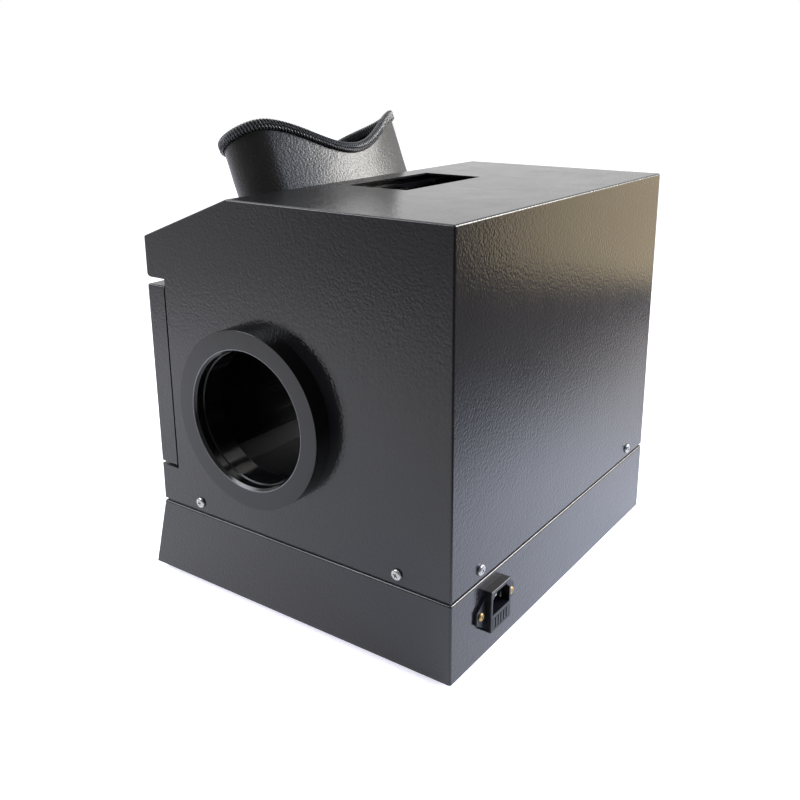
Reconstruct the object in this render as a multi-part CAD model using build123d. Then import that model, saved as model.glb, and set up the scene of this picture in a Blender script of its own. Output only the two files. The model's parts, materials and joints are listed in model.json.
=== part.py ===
from build123d import *
import os
from math import atan2, cos, hypot, pi, sin

# ------------------------------------------------------------------ driving sizes, in mm
# Folded and welded steel housings.
SHEET = 1.5                 # wall of the cabinet, the door and the base
BEND_R = 1.5                # outside radius of every fold
FIT = 0.2                   # gap between sheet parts that slide into each other
CAB_W = 316.0               # across the hand ports' sides
CAB_D = 266.3               # front to rear
CAB_H = 239.3               # from the seam to the top
SLANT_RUN = 85.3            # how far back the slanted front of the top reaches
SLANT_DROP = 32.6           # how far it falls towards the front
SEAM = 2.4                  # open joint between the cabinet and the base
BASE_H = 58.3               # side wall of the base
BASE_TOE = 16.2             # how far the base's front face leans out at the bottom
BASE_FLANGE = 12.0          # inward flange round the base's top and bottom openings
FOOT_PAD = 36.0             # square corner of the bottom flange over each foot

# Door recess, door and its piano hinge.
LOWER_PANEL_H = 28.8        # front strip below the door
RECESS_H = 148.0            # height of the recess that takes the door
RECESS_D = 19.0             # depth of that recess
DOOR_BOTTOM_GAP = 2.0
DOOR_TOP_GAP = 5.5
DOOR_REAR_GAP = 1.35        # from the door's rear edge to the recess wall
DOOR_LIP = 8.0              # return lip round the back of the door pan
NIB_R = 5.0                 # rounded lower corner of the side wall above the door
OPENING_SIDE = 38.0         # from the cabinet's side to the doorway
OPENING_BOTTOM = 13.5       # from the recess floor to the doorway
OPENING_TOP = 15.0          # from the recess ceiling to the doorway
OPENING_R = 6.0
SEAL_GAP = 0.3              # seal to the closed door
SEAL_W = 7.0
MAGNET_R = 2.6
MAGNET_L = 3.4
MAGNET_X = 90.0             # from the middle to each magnet
HINGE_L = 280.0
HINGE_LEAF = 0.8            # thickness of a leaf
HINGE_LEAF_H = 14.0
HINGE_PIN_R = 0.9
HINGE_BORE_GAP = 0.06       # pin to knuckle, radial
HINGE_KNUCKLES = 14
KNUCKLE_GAP = 0.3           # between neighbouring knuckles, and from knuckle to leaf
KNOB_R = 10.0
KNOB_NECK_R = 5.5
KNOB_H = 14.0
KNOB_HEAD_T = 7.5
KNOB_CROWN = 3.0            # rounding of the head's face
KNOB_DROP = 20.0            # from the door's top edge
KNOB_SCREW_R = 1.5
KNOB_SCREW_L = 9.0

# Viewing hood on the slanted face.
HOOD_HALF_W = 93.0
HOOD_HALF_D = 37.0
HOOD_SIDE_R = 26.0          # round ends of the oval
HOOD_SHIFT = 3.0            # up the slant from its middle
HOOD_WALL = 2.5
HOOD_PEAK = 57.0            # rim height at the temples
HOOD_REAR_DIP = 28.5        # rim height at the forehead
HOOD_FRONT_DIP = 33.0       # rim height at the nose
HOOD_FLANGE = 4.5           # turned-out foot below the sheet
HOOD_FLANGE_T = 2.5
HOOD_FIT = 0.3              # hood to the oval hole
RIM_STEPS = 4               # points of the rim curve on each side of its dip
TRIM_OUT = 2.4              # edge trim beyond the hood's outer face
TRIM_IN = 1.6               # and beyond its inner face
TRIM_CAP = 2.0              # above the rim
TRIM_DROP = 5.5             # below the rim
TRIM_FIT = 0.1
WINDOW_W = 208.0            # pane under the hood
WINDOW_D = 80.0
WINDOW_T = 3.0
GASKET_T = 1.0
CLAMP_W = 226.0
CLAMP_D = 84.0
CLAMP_T = 1.5
STUD_R = 3.0
STUD_SPACING_X = 216.0
STUD_SPACING_Y = 56.0
CLAMP_SCREW_R = 1.5
CLAMP_SCREW_L = 6.0
CLAMP_R = 3.0               # corners of the clamp frame
WINDOW_R = 2.0              # corners of the pane
CUT_OVER = 1.0              # how far a cutter runs past what it cuts

# Rectangular camera port in the top.
CAMERA_W = 102.0
CAMERA_D = 52.4
CAMERA_Y = -2.0
CAMERA_R = 1.0

# Hand ports.
PORT_Y = -26.2
PORT_RISE = 91.1            # centre above the seam edge of the cabinet
COLLAR_R = 64.2
COLLAR_BORE_R = 48.5
COLLAR_STAND = 14.0         # collar face to the side wall
COLLAR_EDGE = 1.2
COLLAR_CHAMFER = 2.0
COLLAR_STEP_DEPTH = 8.0     # shallow step in the bore, from the face
COLLAR_STEP = 0.8
SPIGOT_R = 54.0
SPIGOT_L = 10.0             # inside the side wall
SPIGOT_FIT = 0.15
LOCK_RING_R = 63.0
LOCK_RING_T = 6.0
LOCK_RING_GRIPS = 12
LOCK_GRIP_R = 4.0

# Screws that hold the cabinet to the deck.
SCREW_HEAD_R = 4.0
SCREW_HEAD_H = 2.2
SCREW_R = 1.95
SCREW_L = 7.5
SCREW_RISE = 6.8            # above the seam edge of the cabinet
SIDE_SCREW_SPACING = 182.8
REAR_SCREW_SPACING = 244.8
RECESS_CROSS_L = 4.4
RECESS_CROSS_W = 0.9
RECESS_CROSS_DEPTH = 1.3
HOLE_GAP = 0.05             # screw to tapped hole
CLEAR_GAP = 0.3             # screw to clearance hole
NUT_R = 3.6
NUT_T = 3.0

# Deck, bottom plate and feet.
DECK_FLANGE_H = 20.0
BOTTOM_INSET = 5.0
FOOT_R = 9.0
FOOT_TIP_R = 8.0
FOOT_H = 5.0
FOOT_INSET = 22.0
FOOT_WELL_R = 4.2
FOOT_WELL = 3.0
FOOT_SCREW_HEAD_R = 3.5
FOOT_SCREW_L = 9.0

# Light table in the deck.
TABLE_Y = 5.0
FILTER_W = 200.0
FILTER_D = 150.0
FILTER_T = 4.0
FILTER_FIT = 0.3
FILTER_LEDGE = 5.0
FRAME_WALL = 2.2
FRAME_FLANGE = 10.5
FRAME_FLANGE_T = 1.5
LEDGE_T = 2.0
DECK_CUT_GAP = 0.5

# Tubes, their holders and the two lamp housings.
TUBE_L = 212.0
TUBE_R = 7.75
CAP_R = 8.0
CAP_L = 8.0
TUBE_PIN_R = 1.1
TUBE_PIN_L = 6.0
TUBE_PIN_SPACING = 5.0
HOLDER_T = 8.0
HOLDER_W = 20.0
HOLDER_GAP = 0.2
HOLDER_ABOVE = 6.0
HOLDER_SLOT_DEPTH = 6.6
LOWER_TUBES = 4
LOWER_PITCH = 34.0
UPPER_TUBES = 2
UPPER_PITCH = 36.0
FOIL = 1.0                  # wall of the reflector and of the upper lamp housing
REFLECTOR_GAP = 0.5         # from the light table's downstand to the reflector's wall
REFLECTOR_DEPTH = 42.0
REFLECTOR_LIP = 8.0
TUBE_RISE = 14.0            # tube axis above the reflector's floor
LAMP_Y = 81.0
LAMP_D = 86.0
LAMP_DEPTH = 42.0
LAMP_LIP = 9.0
PANE_T = 2.0
PANE_GAP = 1.0
BALLAST_W = 20.0
BALLAST_L = 110.0
BALLAST_H = 22.0
BALLAST_GAP = 7.8           # from the reflector's wall to a ballast
BALLAST_FOOT = 12.0
BALLAST_FOOT_T = 1.5
BALLAST_R = 2.0

# Rocker switches in the base's sloped front.
SWITCH_SPACING = 44.0
SWITCH_BEZEL_W = 15.0
SWITCH_BEZEL_H = 21.0
SWITCH_BEZEL_T = 1.6
SWITCH_BODY_W = 12.8
SWITCH_BODY_H = 19.0
SWITCH_BODY_L = 16.0
SWITCH_CUT_GAP = 0.1
SWITCH_TAB_W = 4.8
SWITCH_TAB_T = 0.8
SWITCH_TAB_L = 7.0
SWITCH_TAB_SPACING = 9.0
WELL_W = 10.4
WELL_H = 16.4
WELL_DEPTH = 9.5            # below the sheet's outer face
ROCKER_W = 9.8
ROCKER_HALF = 7.0
ROCKER_BELLY_R = 6.4
ROCKER_END = 3.2            # rocker's ends above the sheet's outer face
ROCKER_MIDDLE = 2.0
ROCKER_PIVOT = 3.0          # pivot below the sheet's outer face
ROCKER_TILT = 7.0           # to each side, in degrees
PIVOT_R = 1.0
PIVOT_L = 0.9
PIVOT_GAP = 0.06

# Mains inlet with its fuse drawer, on the rear of the base.
INLET_X = 104.3
INLET_RISE = 34.0           # above the base's lower edge
INLET_W = 27.0
INLET_H = 31.0
INLET_STAND = 6.2
INLET_R = 1.5
INLET_BODY_GAP = 1.3        # body behind the sheet, smaller than the block on each side
INLET_BODY_L = 24.0
INLET_CUT_GAP = 0.2
EAR_SPAN = 50.0
EAR_T = 2.0
EAR_TIP = 9.0
EAR_ROOT = 24.0
EAR_SCREW_SPACING = 40.0
EAR_SCREW_R = 1.45
EAR_SCREW_HEAD_R = 2.9
EAR_SCREW_HEAD_H = 1.6
EAR_SCREW_L = 8.0
SOCKET_W = 22.6
SOCKET_H = 15.6
SOCKET_CORNER = 4.6
SOCKET_DEPTH = 16.5
SOCKET_TOP = 2.2            # from the block's top edge
BLADE_W = 4.0
BLADE_T = 2.0
BLADE_L = 12.0              # standing in the socket
BLADE_ROOT = 14.0           # below the socket's floor, out of the body's back
BLADE_SPACING = 14.0
EARTH_RISE = 2.0
LIVE_DROP = 2.0
BLADE_GAP = 0.05
DRAWER_W = 22.0
DRAWER_H = 7.6
DRAWER_L = 22.0
DRAWER_GAP = 0.25
DRAWER_BOTTOM = 2.4         # from the block's lower edge
GRIP_RIBS = 5
GRIP_DEPTH = 0.7
FUSE_R = 2.6
FUSE_GLASS_R = 2.3
FUSE_L = 20.0
FUSE_CAP_L = 5.5
FUSE_GAP = 0.3
FUSE_INSET = 8.0            # fuse axis behind the drawer's face

# ------------------------------------------------------------------ levels and planes
BASE_Z = FOOT_H + SHEET
DECK_Z = BASE_Z + BASE_H
SEAM_Z = DECK_Z + SEAM
TOP_Z = SEAM_Z + CAB_H
HALF_W = CAB_W / 2
HALF_D = CAB_D / 2
FLOOR_Z = DECK_Z + SHEET
RECESS_Z = SEAM_Z + LOWER_PANEL_H
RECESS_TOP_Z = RECESS_Z + RECESS_H
RECESS_Y = -HALF_D + RECESS_D
DOOR_Z = RECESS_Z + DOOR_BOTTOM_GAP
DOOR_TOP_Z = RECESS_TOP_Z - DOOR_TOP_GAP
DOOR_BACK_Y = RECESS_Y - DOOR_REAR_GAP
KNUCKLE_R = HINGE_PIN_R + HINGE_BORE_GAP + HINGE_LEAF
HINGE_Y = -HALF_D - KNUCKLE_R
HINGE_Z = RECESS_Z + DOOR_BOTTOM_GAP / 2
SCREW_Z = SEAM_Z + SCREW_RISE
PORT_Z = SEAM_Z + PORT_RISE
TABLE_TOP_Z = FLOOR_Z + FRAME_FLANGE_T
# The origin is the middle of the footprint: the base's toe in front, the inlet behind.
FRAME_SHIFT = (BASE_TOE - INLET_STAND) / 2

SLANT_ANGLE = atan2(SLANT_DROP, SLANT_RUN)
SLANT_NORMAL = (0, -sin(SLANT_ANGLE), cos(SLANT_ANGLE))
SLANT_UP = (0, cos(SLANT_ANGLE), sin(SLANT_ANGLE))
SLANT = Plane(
    origin=(0, -HALF_D + SLANT_RUN / 2, TOP_Z - SLANT_DROP / 2),
    x_dir=(1, 0, 0),
    z_dir=SLANT_NORMAL,
)
HOOD_CENTRE = SLANT.from_local_coords(Vector(0, HOOD_SHIFT, 0))
HOOD = Plane(origin=HOOD_CENTRE, x_dir=(1, 0, 0), z_dir=SLANT_NORMAL)
# Seen from the rear: local x across, local y along the hood's axis, local z to the front.
RIM = Plane(origin=HOOD_CENTRE, x_dir=(1, 0, 0), z_dir=(0, -SLANT_UP[1], -SLANT_UP[2]))

TOE_ANGLE = atan2(BASE_TOE, BASE_H)
TOE_NORMAL = (0, -cos(TOE_ANGLE), sin(TOE_ANGLE))
TOE_MIDDLE = (-HALF_D - BASE_TOE / 2, BASE_Z + BASE_H / 2)
INLET = Plane(
    origin=(INLET_X, HALF_D, BASE_Z + INLET_RISE),
    x_dir=(-1, 0, 0),
    z_dir=(0, 1, 0),
)


# ------------------------------------------------------------------ shared shapes
def block(x, y, z):
    """A box between a low and a high limit on each axis."""
    limits = (x, y, z)
    sizes = [high - low for low, high in limits]
    centre = [(high + low) / 2 for low, high in limits]
    return Pos(*centre) * Box(*sizes)


def outline(points):
    """A flat face inside the given corner points."""
    return make_face(Polyline(*points, close=True))


def prism(points, half_width):
    """A side-view outline of (y, z) points, extruded to both sides."""
    return extrude(Plane.YZ * outline(points), amount=half_width, both=True)


def turned(points):
    """A solid turned about +Z from (radius, height) points."""
    return revolve(Plane.XZ * outline(points), Axis.Z)


def raised(face, plane, low, high):
    """A face drawn on a plane, extruded between two heights above it."""
    return extrude(plane.offset(low) * face, amount=high - low)


def rod(radius, low, high):
    """A cylinder on the Z axis between two heights."""
    return Pos(0, 0, (low + high) / 2) * Cylinder(radius, high - low)


def both_sides(shape):
    """A right-hand piece and its mirror image on the left."""
    return shape, mirror(shape, about=Plane.YZ)


def pan_screw(head_r, head_h, shank_r, shank_l):
    """A cross-recessed pan-head screw, its head above z = 0 and its shank below."""
    rim = 0.45 * head_h
    head = turned([(0, 0), (head_r, 0), (head_r, rim), (0.72 * head_r, head_h), (0, head_h)])
    cross = Box(RECESS_CROSS_L * head_r / SCREW_HEAD_R, RECESS_CROSS_W, 2 * RECESS_CROSS_DEPTH)
    cross = cross + Rot(0, 0, 90) * cross
    return head - Pos(0, 0, head_h) * cross + rod(shank_r, -shank_l, 0)


# ------------------------------------------------------------------ cabinet
def cabinet_outline():
    """The cabinet seen from its side, as (y, z) corners."""
    return [
        (-HALF_D, SEAM_Z),
        (HALF_D, SEAM_Z),
        (HALF_D, TOP_Z),
        (-HALF_D + SLANT_RUN, TOP_Z),
        (-HALF_D, TOP_Z - SLANT_DROP),
    ]


def side_screw_planes(half_width):
    """Outward planes of the side screws, on walls at the given half width."""
    return [
        Plane(origin=(side * half_width, y, SCREW_Z), x_dir=(0, 1, 0), z_dir=(side, 0, 0))
        for side in (-1, 1)
        for y in (-SIDE_SCREW_SPACING / 2, SIDE_SCREW_SPACING / 2)
    ]


def rear_screw_planes(wall_y):
    """Outward planes of the rear screws, on a wall at the given y."""
    return [
        Plane(origin=(x, wall_y, SCREW_Z), x_dir=(1, 0, 0), z_dir=(0, 1, 0))
        for x in (-REAR_SCREW_SPACING / 2, REAR_SCREW_SPACING / 2)
    ]


def stud_points():
    """Where the clamp studs stand, in the slant's own plane."""
    return [
        (x, HOOD_SHIFT + y)
        for x in (-STUD_SPACING_X / 2, STUD_SPACING_X / 2)
        for y in (-STUD_SPACING_Y / 2, STUD_SPACING_Y / 2)
    ]


def side_slab(inner_x, outer_x):
    """A slab across the whole cabinet between two x values on the right."""
    return block((inner_x, outer_x), (-HALF_D, HALF_D), (SEAM_Z, TOP_Z))


def cabinet_side():
    """Right-hand side wall: rounded folds, hand port, door recess and screw holes."""
    skin = prism(cabinet_outline(), HALF_W)
    folds = skin.edges().filter_by(lambda edge: edge.center().Z > SEAM_Z + SHEET)
    wall = fillet(folds, BEND_R) & side_slab(HALF_W - SHEET, HALF_W)
    wall -= recess_cut()
    wall -= port_plane() * rod(SPIGOT_R + SPIGOT_FIT, -2 * SHEET, SHEET)
    for plane in side_screw_planes(HALF_W):
        wall -= plane * rod(SCREW_R + CLEAR_GAP, -2 * SHEET, SHEET)
    return wall


def recess_cut():
    """The door recess through a side wall, with a rounded nib above the door."""
    cut = outline([
        (-CAB_D, RECESS_Z),
        (RECESS_Y, RECESS_Z),
        (RECESS_Y, RECESS_TOP_Z),
        (-HALF_D + NIB_R, RECESS_TOP_Z),
        (-HALF_D, RECESS_TOP_Z + NIB_R),
        (-CAB_D, RECESS_TOP_Z + NIB_R),
    ])
    nib = Pos(-HALF_D + NIB_R, RECESS_TOP_Z + NIB_R) * Circle(NIB_R)
    return extrude(Plane.YZ * (cut - nib), amount=CAB_W, both=True)


def cabinet_wrap():
    """Upper front strip, slanted face, top and rear, bent from one sheet."""
    outside = outline(cabinet_outline())
    band = outside - offset(outside, -SHEET, kind=Kind.INTERSECTION)
    wrap = extrude(Plane.YZ * band, amount=HALF_W - SHEET, both=True)
    wrap -= block((-HALF_W, HALF_W), (-CAB_D, HALF_D - SHEET), (DECK_Z, RECESS_TOP_Z))
    bends = [(HALF_D, TOP_Z), (-HALF_D + SLANT_RUN, TOP_Z), (-HALF_D, TOP_Z - SLANT_DROP)]
    folds = [
        edge for edge in wrap.edges().filter_by(Axis.X)
        if any(hypot(edge.center().Y - y, edge.center().Z - z) < FIT for y, z in bends)
    ]
    wrap = fillet(folds, BEND_R)
    port = block((-CAMERA_W / 2, CAMERA_W / 2), (-CAMERA_D / 2, CAMERA_D / 2), (-2 * SHEET, 2 * SHEET))
    port = fillet(port.edges().filter_by(Axis.Z), CAMERA_R)
    wrap -= Pos(0, CAMERA_Y, TOP_Z) * port
    wrap -= raised(oval(HOOD_FIT), HOOD, -3 * SHEET, 2 * SHEET)
    for plane in rear_screw_planes(HALF_D):
        wrap -= plane * rod(SCREW_R + CLEAR_GAP, -2 * SHEET, SHEET)
    return wrap


def front_strip():
    """Lower front strip, between the side walls and below the door."""
    half = HALF_W - SHEET
    return block((-half, half), (-HALF_D, -HALF_D + SHEET), (SEAM_Z, RECESS_Z))


def doorway():
    """The cutter for the doorway in the recess wall."""
    x = HALF_W - OPENING_SIDE
    z = (RECESS_Z + OPENING_BOTTOM, RECESS_TOP_Z - OPENING_TOP)
    cutter = block((-x, x), (RECESS_Y - SHEET, RECESS_Y + 2 * SHEET), z)
    return fillet(cutter.edges().filter_by(Axis.Y), OPENING_R)


def magnet_points():
    """Where the two door magnets sit, as (x, z)."""
    z = RECESS_TOP_Z - OPENING_TOP + (DOOR_LIP + SEAL_GAP) / 2
    return [(-MAGNET_X, z), (MAGNET_X, z)]


def magnet_rod(radius, front, rear):
    """Rods along Y at both magnets, between two y values."""
    rods = Part()
    for x, z in magnet_points():
        rods += Plane(origin=(x, 0, z), z_dir=(0, 1, 0)) * rod(radius, front, rear)
    return rods


def front_frame():
    """Folded channel that closes the recess: floor shelf, wall with doorway, ceiling shelf."""
    half = HALF_W - SHEET - FIT
    front = -HALF_D + SHEET
    z = (RECESS_Z - SHEET, RECESS_TOP_Z + SHEET)
    frame = block((-half, half), (front, RECESS_Y + SHEET), z)
    frame -= block((-CAB_W, CAB_W), (-CAB_D, RECESS_Y), (RECESS_Z, RECESS_TOP_Z))
    frame -= doorway()
    return frame - magnet_rod(MAGNET_R + HOLE_GAP, RECESS_Y - SHEET, RECESS_Y + 2 * SHEET)


def door_seal():
    """Foam strip on the recess wall, where the door's lips close."""
    thick = DOOR_REAR_GAP - SEAL_GAP
    y = (RECESS_Y - thick, RECESS_Y)
    x = HALF_W - SHEET
    z = (DOOR_Z + SEAL_GAP, DOOR_TOP_Z - SEAL_GAP)
    seal = block((-x, x), y, z)
    seal -= block((-x + SEAL_W, x - SEAL_W), (-CAB_D, 0), (z[0] + SEAL_W, z[1] - SEAL_W))
    return seal - magnet_rod(MAGNET_R + CLEAR_GAP, RECESS_Y - 2 * thick, RECESS_Y + SHEET)


def door_magnets():
    """Two round magnets through the recess wall, level with the seal."""
    front = RECESS_Y - DOOR_REAR_GAP + SEAL_GAP
    return magnet_rod(MAGNET_R, front, front + MAGNET_L)


# ------------------------------------------------------------------ door
def knob_plane():
    """Outward plane on the door's face where the knob sits."""
    return Plane(origin=(0, -HALF_D, DOOR_TOP_Z - KNOB_DROP), x_dir=(1, 0, 0), z_dir=(0, -1, 0))


def front_door():
    """Folded door pan with a return lip round its back."""
    pan = block((-HALF_W, HALF_W), (-HALF_D, DOOR_BACK_Y), (DOOR_Z, DOOR_TOP_Z))
    folds = pan.edges().filter_by(lambda edge: edge.center().Y < DOOR_BACK_Y - SHEET)
    pan = fillet(folds, BEND_R)
    x = HALF_W - SHEET
    pan -= block((-x, x), (-HALF_D + SHEET, DOOR_BACK_Y - SHEET), (DOOR_Z + SHEET, DOOR_TOP_Z - SHEET))
    x = HALF_W - DOOR_LIP
    pan -= block((-x, x), (-HALF_D + SHEET, DOOR_BACK_Y + SHEET), (DOOR_Z + DOOR_LIP, DOOR_TOP_Z - DOOR_LIP))
    return pan - knob_plane() * rod(KNOB_SCREW_R + CLEAR_GAP, -2 * SHEET, SHEET)


def door_knob():
    """Turned knob with a narrow neck and a rounded head."""
    neck = rod(KNOB_NECK_R, 0, KNOB_H - KNOB_HEAD_T)
    head = rod(KNOB_R, KNOB_H - KNOB_HEAD_T, KNOB_H)
    rims = head.edges().sort_by(Axis.Z)
    head = fillet(rims[-1:], KNOB_CROWN)
    head = fillet(head.edges().sort_by(Axis.Z)[:1], KNOB_CROWN / 2)
    bore = rod(KNOB_SCREW_R + HOLE_GAP, -CUT_OVER, KNOB_SCREW_L)
    return knob_plane() * (neck + head - bore)


def door_knob_screw():
    """Screw from inside the door into the knob."""
    screw = pan_screw(2 * KNOB_SCREW_R, KNOB_SCREW_R, KNOB_SCREW_R, KNOB_SCREW_L)
    return Plane(origin=(0, -HALF_D + SHEET, DOOR_TOP_Z - KNOB_DROP), z_dir=(0, 1, 0)) * screw


def knuckle(index, radius):
    """One knuckle's length of the hinge, as a cylinder of the given radius."""
    pitch = HINGE_L / HINGE_KNUCKLES
    low = -HINGE_L / 2 + index * pitch + KNUCKLE_GAP / 2
    axis = Plane(origin=(0, HINGE_Y, HINGE_Z), x_dir=(0, 1, 0), z_dir=(1, 0, 0))
    return axis * rod(radius, low, low + pitch - KNUCKLE_GAP)


def hinge_leaf(up, first):
    """A hinge leaf: a strip on the sheet and every other knuckle, from the given one."""
    reach = (KNUCKLE_R + KNUCKLE_GAP, HINGE_LEAF_H)
    near, far = (HINGE_Z + up * distance for distance in reach)
    y = (-HALF_D - HINGE_LEAF, -HALF_D)
    half = HINGE_L / 2
    leaf = block((-half + KNUCKLE_GAP / 2, half - KNUCKLE_GAP / 2), y, sorted((near, far)))
    pitch = HINGE_L / HINGE_KNUCKLES
    for index in range(first, HINGE_KNUCKLES, 2):
        low = -half + index * pitch + KNUCKLE_GAP / 2
        x = (low, low + pitch - KNUCKLE_GAP)
        leaf += block(x, y, sorted((HINGE_Z, near)))
        leaf += knuckle(index, KNUCKLE_R)
    axis = Plane(origin=(0, HINGE_Y, HINGE_Z), x_dir=(0, 1, 0), z_dir=(1, 0, 0))
    return leaf - axis * rod(HINGE_PIN_R + HINGE_BORE_GAP, -HINGE_L, HINGE_L)


def door_hinge_pin():
    """The hinge's wire pin, as long as its leaves."""
    axis = Plane(origin=(0, HINGE_Y, HINGE_Z), x_dir=(0, 1, 0), z_dir=(1, 0, 0))
    return axis * rod(HINGE_PIN_R, -HINGE_L / 2, HINGE_L / 2)


# ------------------------------------------------------------------ viewing hood
def oval(grow):
    """The hood's outline of four tangent arcs, moved outwards by grow."""
    middle = HOOD_HALF_W - HOOD_SIDE_R
    drop = (middle**2 + HOOD_HALF_D**2 - HOOD_SIDE_R**2) / (2 * (HOOD_HALF_D - HOOD_SIDE_R)) - HOOD_HALF_D
    half_w = HOOD_HALF_W + grow
    half_d = HOOD_HALF_D + grow
    long_r = half_d + drop
    span = hypot(middle, drop)
    x = middle * long_r / span
    y = drop * long_r / span - drop
    arcs = [
        ThreePointArc((-x, y), (0, half_d), (x, y)),
        ThreePointArc((x, y), (half_w, 0), (x, -y)),
        ThreePointArc((x, -y), (0, -half_d), (-x, -y)),
        ThreePointArc((-x, -y), (-half_w, 0), (-x, y)),
    ]
    return make_face(arcs)


def rim_height(across, dip):
    """Height of the rim above the slanted face, a cosine wave from the dip to the temples."""
    wave = (1 - cos(pi * across / HOOD_HALF_W)) / 2
    return dip + (HOOD_PEAK - dip) * wave


def rim_spaces(lift):
    """The space below the rim's wave, its front and rear half, the wave moved up by lift."""
    end = HOOD_HALF_W + 2 * TRIM_OUT
    top = HOOD_PEAK + lift
    floor = -2 * HOOD_FLANGE
    steps = [HOOD_HALF_W * step / RIM_STEPS for step in range(-RIM_STEPS, RIM_STEPS + 1)]
    spaces = []
    for dip, reach in ((HOOD_FRONT_DIP, HOOD_HALF_W), (HOOD_REAR_DIP, -HOOD_HALF_W)):
        wave = Spline(*[(x, rim_height(x, dip) + lift) for x in steps], tangents=((1, 0), (1, 0)))
        sides = Polyline(wave @ 1, (end, top), (end, floor), (-end, floor), (-end, top), wave @ 0)
        spaces.append(extrude(RIM * make_face([wave, sides]), amount=reach))
    return spaces


def below_rim(tube, lift):
    """The part of a tube below the rim's wave."""
    front, rear = [tube & space for space in rim_spaces(lift)]
    return front + rear


def oval_tube(grow_out, grow_in, low, high):
    """A straight oval tube along the hood's axis, between two outlines."""
    bore = raised(oval(grow_in), HOOD, low - CUT_OVER, high + CUT_OVER)
    return raised(oval(grow_out), HOOD, low, high) - bore


def viewing_hood():
    """Oval tube with a waved rim and a turned-out foot."""
    foot = -SHEET - HOOD_FLANGE_T
    tube = below_rim(oval_tube(0, -HOOD_WALL, foot, HOOD_PEAK + TRIM_CAP), 0)
    return tube + oval_tube(HOOD_FLANGE, -HOOD_WALL, foot, -SHEET)


def hood_edge_trim():
    """Edge trim: a U channel that follows the waved rim."""
    top = HOOD_PEAK + 2 * TRIM_CAP
    band = below_rim(oval_tube(TRIM_OUT, -HOOD_WALL - TRIM_IN, 0, top), TRIM_CAP)
    for space in rim_spaces(-TRIM_DROP):
        band -= space
    return band - below_rim(oval_tube(TRIM_FIT, -HOOD_WALL - TRIM_FIT, 0, top), TRIM_FIT)


def hood_stack(layer):
    """Low and high limit of a layer under the slanted sheet, from its outer face."""
    layers = (("foot", HOOD_FLANGE_T), ("gasket", GASKET_T), ("window", WINDOW_T), ("clamp", CLAMP_T))
    high = -SHEET
    for name, thick in layers:
        if name == layer:
            return high - thick, high
        high -= thick
    return high, high


def window_gasket():
    """Rubber frame between the hood's foot and the pane."""
    low, high = hood_stack("gasket")
    sheet = raised(Rectangle(WINDOW_W, WINDOW_D), HOOD, low, high)
    return sheet - raised(oval(-HOOD_WALL), HOOD, low - CUT_OVER, high + CUT_OVER)


def viewing_window():
    """UV-blocking pane that the user looks through."""
    low, high = hood_stack("window")
    return raised(RectangleRounded(WINDOW_W, WINDOW_D, WINDOW_R), HOOD, low, high)


def hood_clamp_frame():
    """Sheet frame that presses the pane, the gasket and the hood's foot to the cabinet."""
    low, high = hood_stack("clamp")
    frame = raised(RectangleRounded(CLAMP_W, CLAMP_D, CLAMP_R), HOOD, low, high)
    frame -= raised(oval(-HOOD_WALL), HOOD, low - CUT_OVER, high + CUT_OVER)
    for x, y in stud_points():
        frame -= SLANT * (Pos(x, y, 0) * rod(CLAMP_SCREW_R + CLEAR_GAP, low - CUT_OVER, high + CUT_OVER))
    return frame


def hood_clamp_studs():
    """Four tapped studs welded under the slanted sheet."""
    low = hood_stack("clamp")[1]
    studs = Part()
    for x, y in stud_points():
        stud = rod(STUD_R, low, -SHEET) - rod(CLAMP_SCREW_R + HOLE_GAP, low - CUT_OVER, low + CLAMP_SCREW_L)
        studs += SLANT * (Pos(x, y, 0) * stud)
    return studs


def hood_clamp_screws():
    """Four screws from below into the studs."""
    low = hood_stack("clamp")[0]
    screws = Part()
    for x, y in stud_points():
        screw = pan_screw(2 * CLAMP_SCREW_R, CLAMP_SCREW_R, CLAMP_SCREW_R, CLAMP_SCREW_L)
        screws += SLANT * (Pos(x, y, low) * (Rot(180, 0, 0) * screw))
    return screws


# ------------------------------------------------------------------ hand ports
def port_plane():
    """Outward plane at the right-hand port's centre, on the side wall."""
    return Plane(origin=(HALF_W, PORT_Y, PORT_Z), x_dir=(0, 1, 0), z_dir=(1, 0, 0))


def hand_port_collar():
    """Turned collar: broad outer ring, chamfered and stepped bore, spigot through the wall."""
    inner = -SHEET - SPIGOT_L
    step_z = COLLAR_STAND - COLLAR_STEP_DEPTH
    return port_plane() * turned([
        (COLLAR_BORE_R - COLLAR_STEP, inner),
        (SPIGOT_R, inner),
        (SPIGOT_R, 0),
        (COLLAR_R, 0),
        (COLLAR_R, COLLAR_STAND - COLLAR_EDGE),
        (COLLAR_R - COLLAR_EDGE, COLLAR_STAND),
        (COLLAR_BORE_R + COLLAR_CHAMFER, COLLAR_STAND),
        (COLLAR_BORE_R, COLLAR_STAND - COLLAR_CHAMFER),
        (COLLAR_BORE_R, step_z),
        (COLLAR_BORE_R - COLLAR_STEP, step_z),
    ])


def hand_port_lock_ring():
    """Ring nut on the spigot inside the cabinet, with grips round its edge."""
    low = -SHEET - LOCK_RING_T
    ring = rod(LOCK_RING_R, low, -SHEET) - rod(SPIGOT_R + SPIGOT_FIT, low - CUT_OVER, 0)
    grip = Pos(LOCK_RING_R + LOCK_GRIP_R / 2, 0, 0) * rod(LOCK_GRIP_R, low - CUT_OVER, 0)
    for index in range(LOCK_RING_GRIPS):
        ring -= Rot(0, 0, 360 / LOCK_RING_GRIPS * index) * grip
    return port_plane() * ring


def housing_screws():
    """Six pan-head screws through the cabinet's lower edge."""
    screws = Part()
    for plane in side_screw_planes(HALF_W) + rear_screw_planes(HALF_D):
        screws += plane * pan_screw(SCREW_HEAD_R, SCREW_HEAD_H, SCREW_R, SCREW_L)
    return screws


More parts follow.
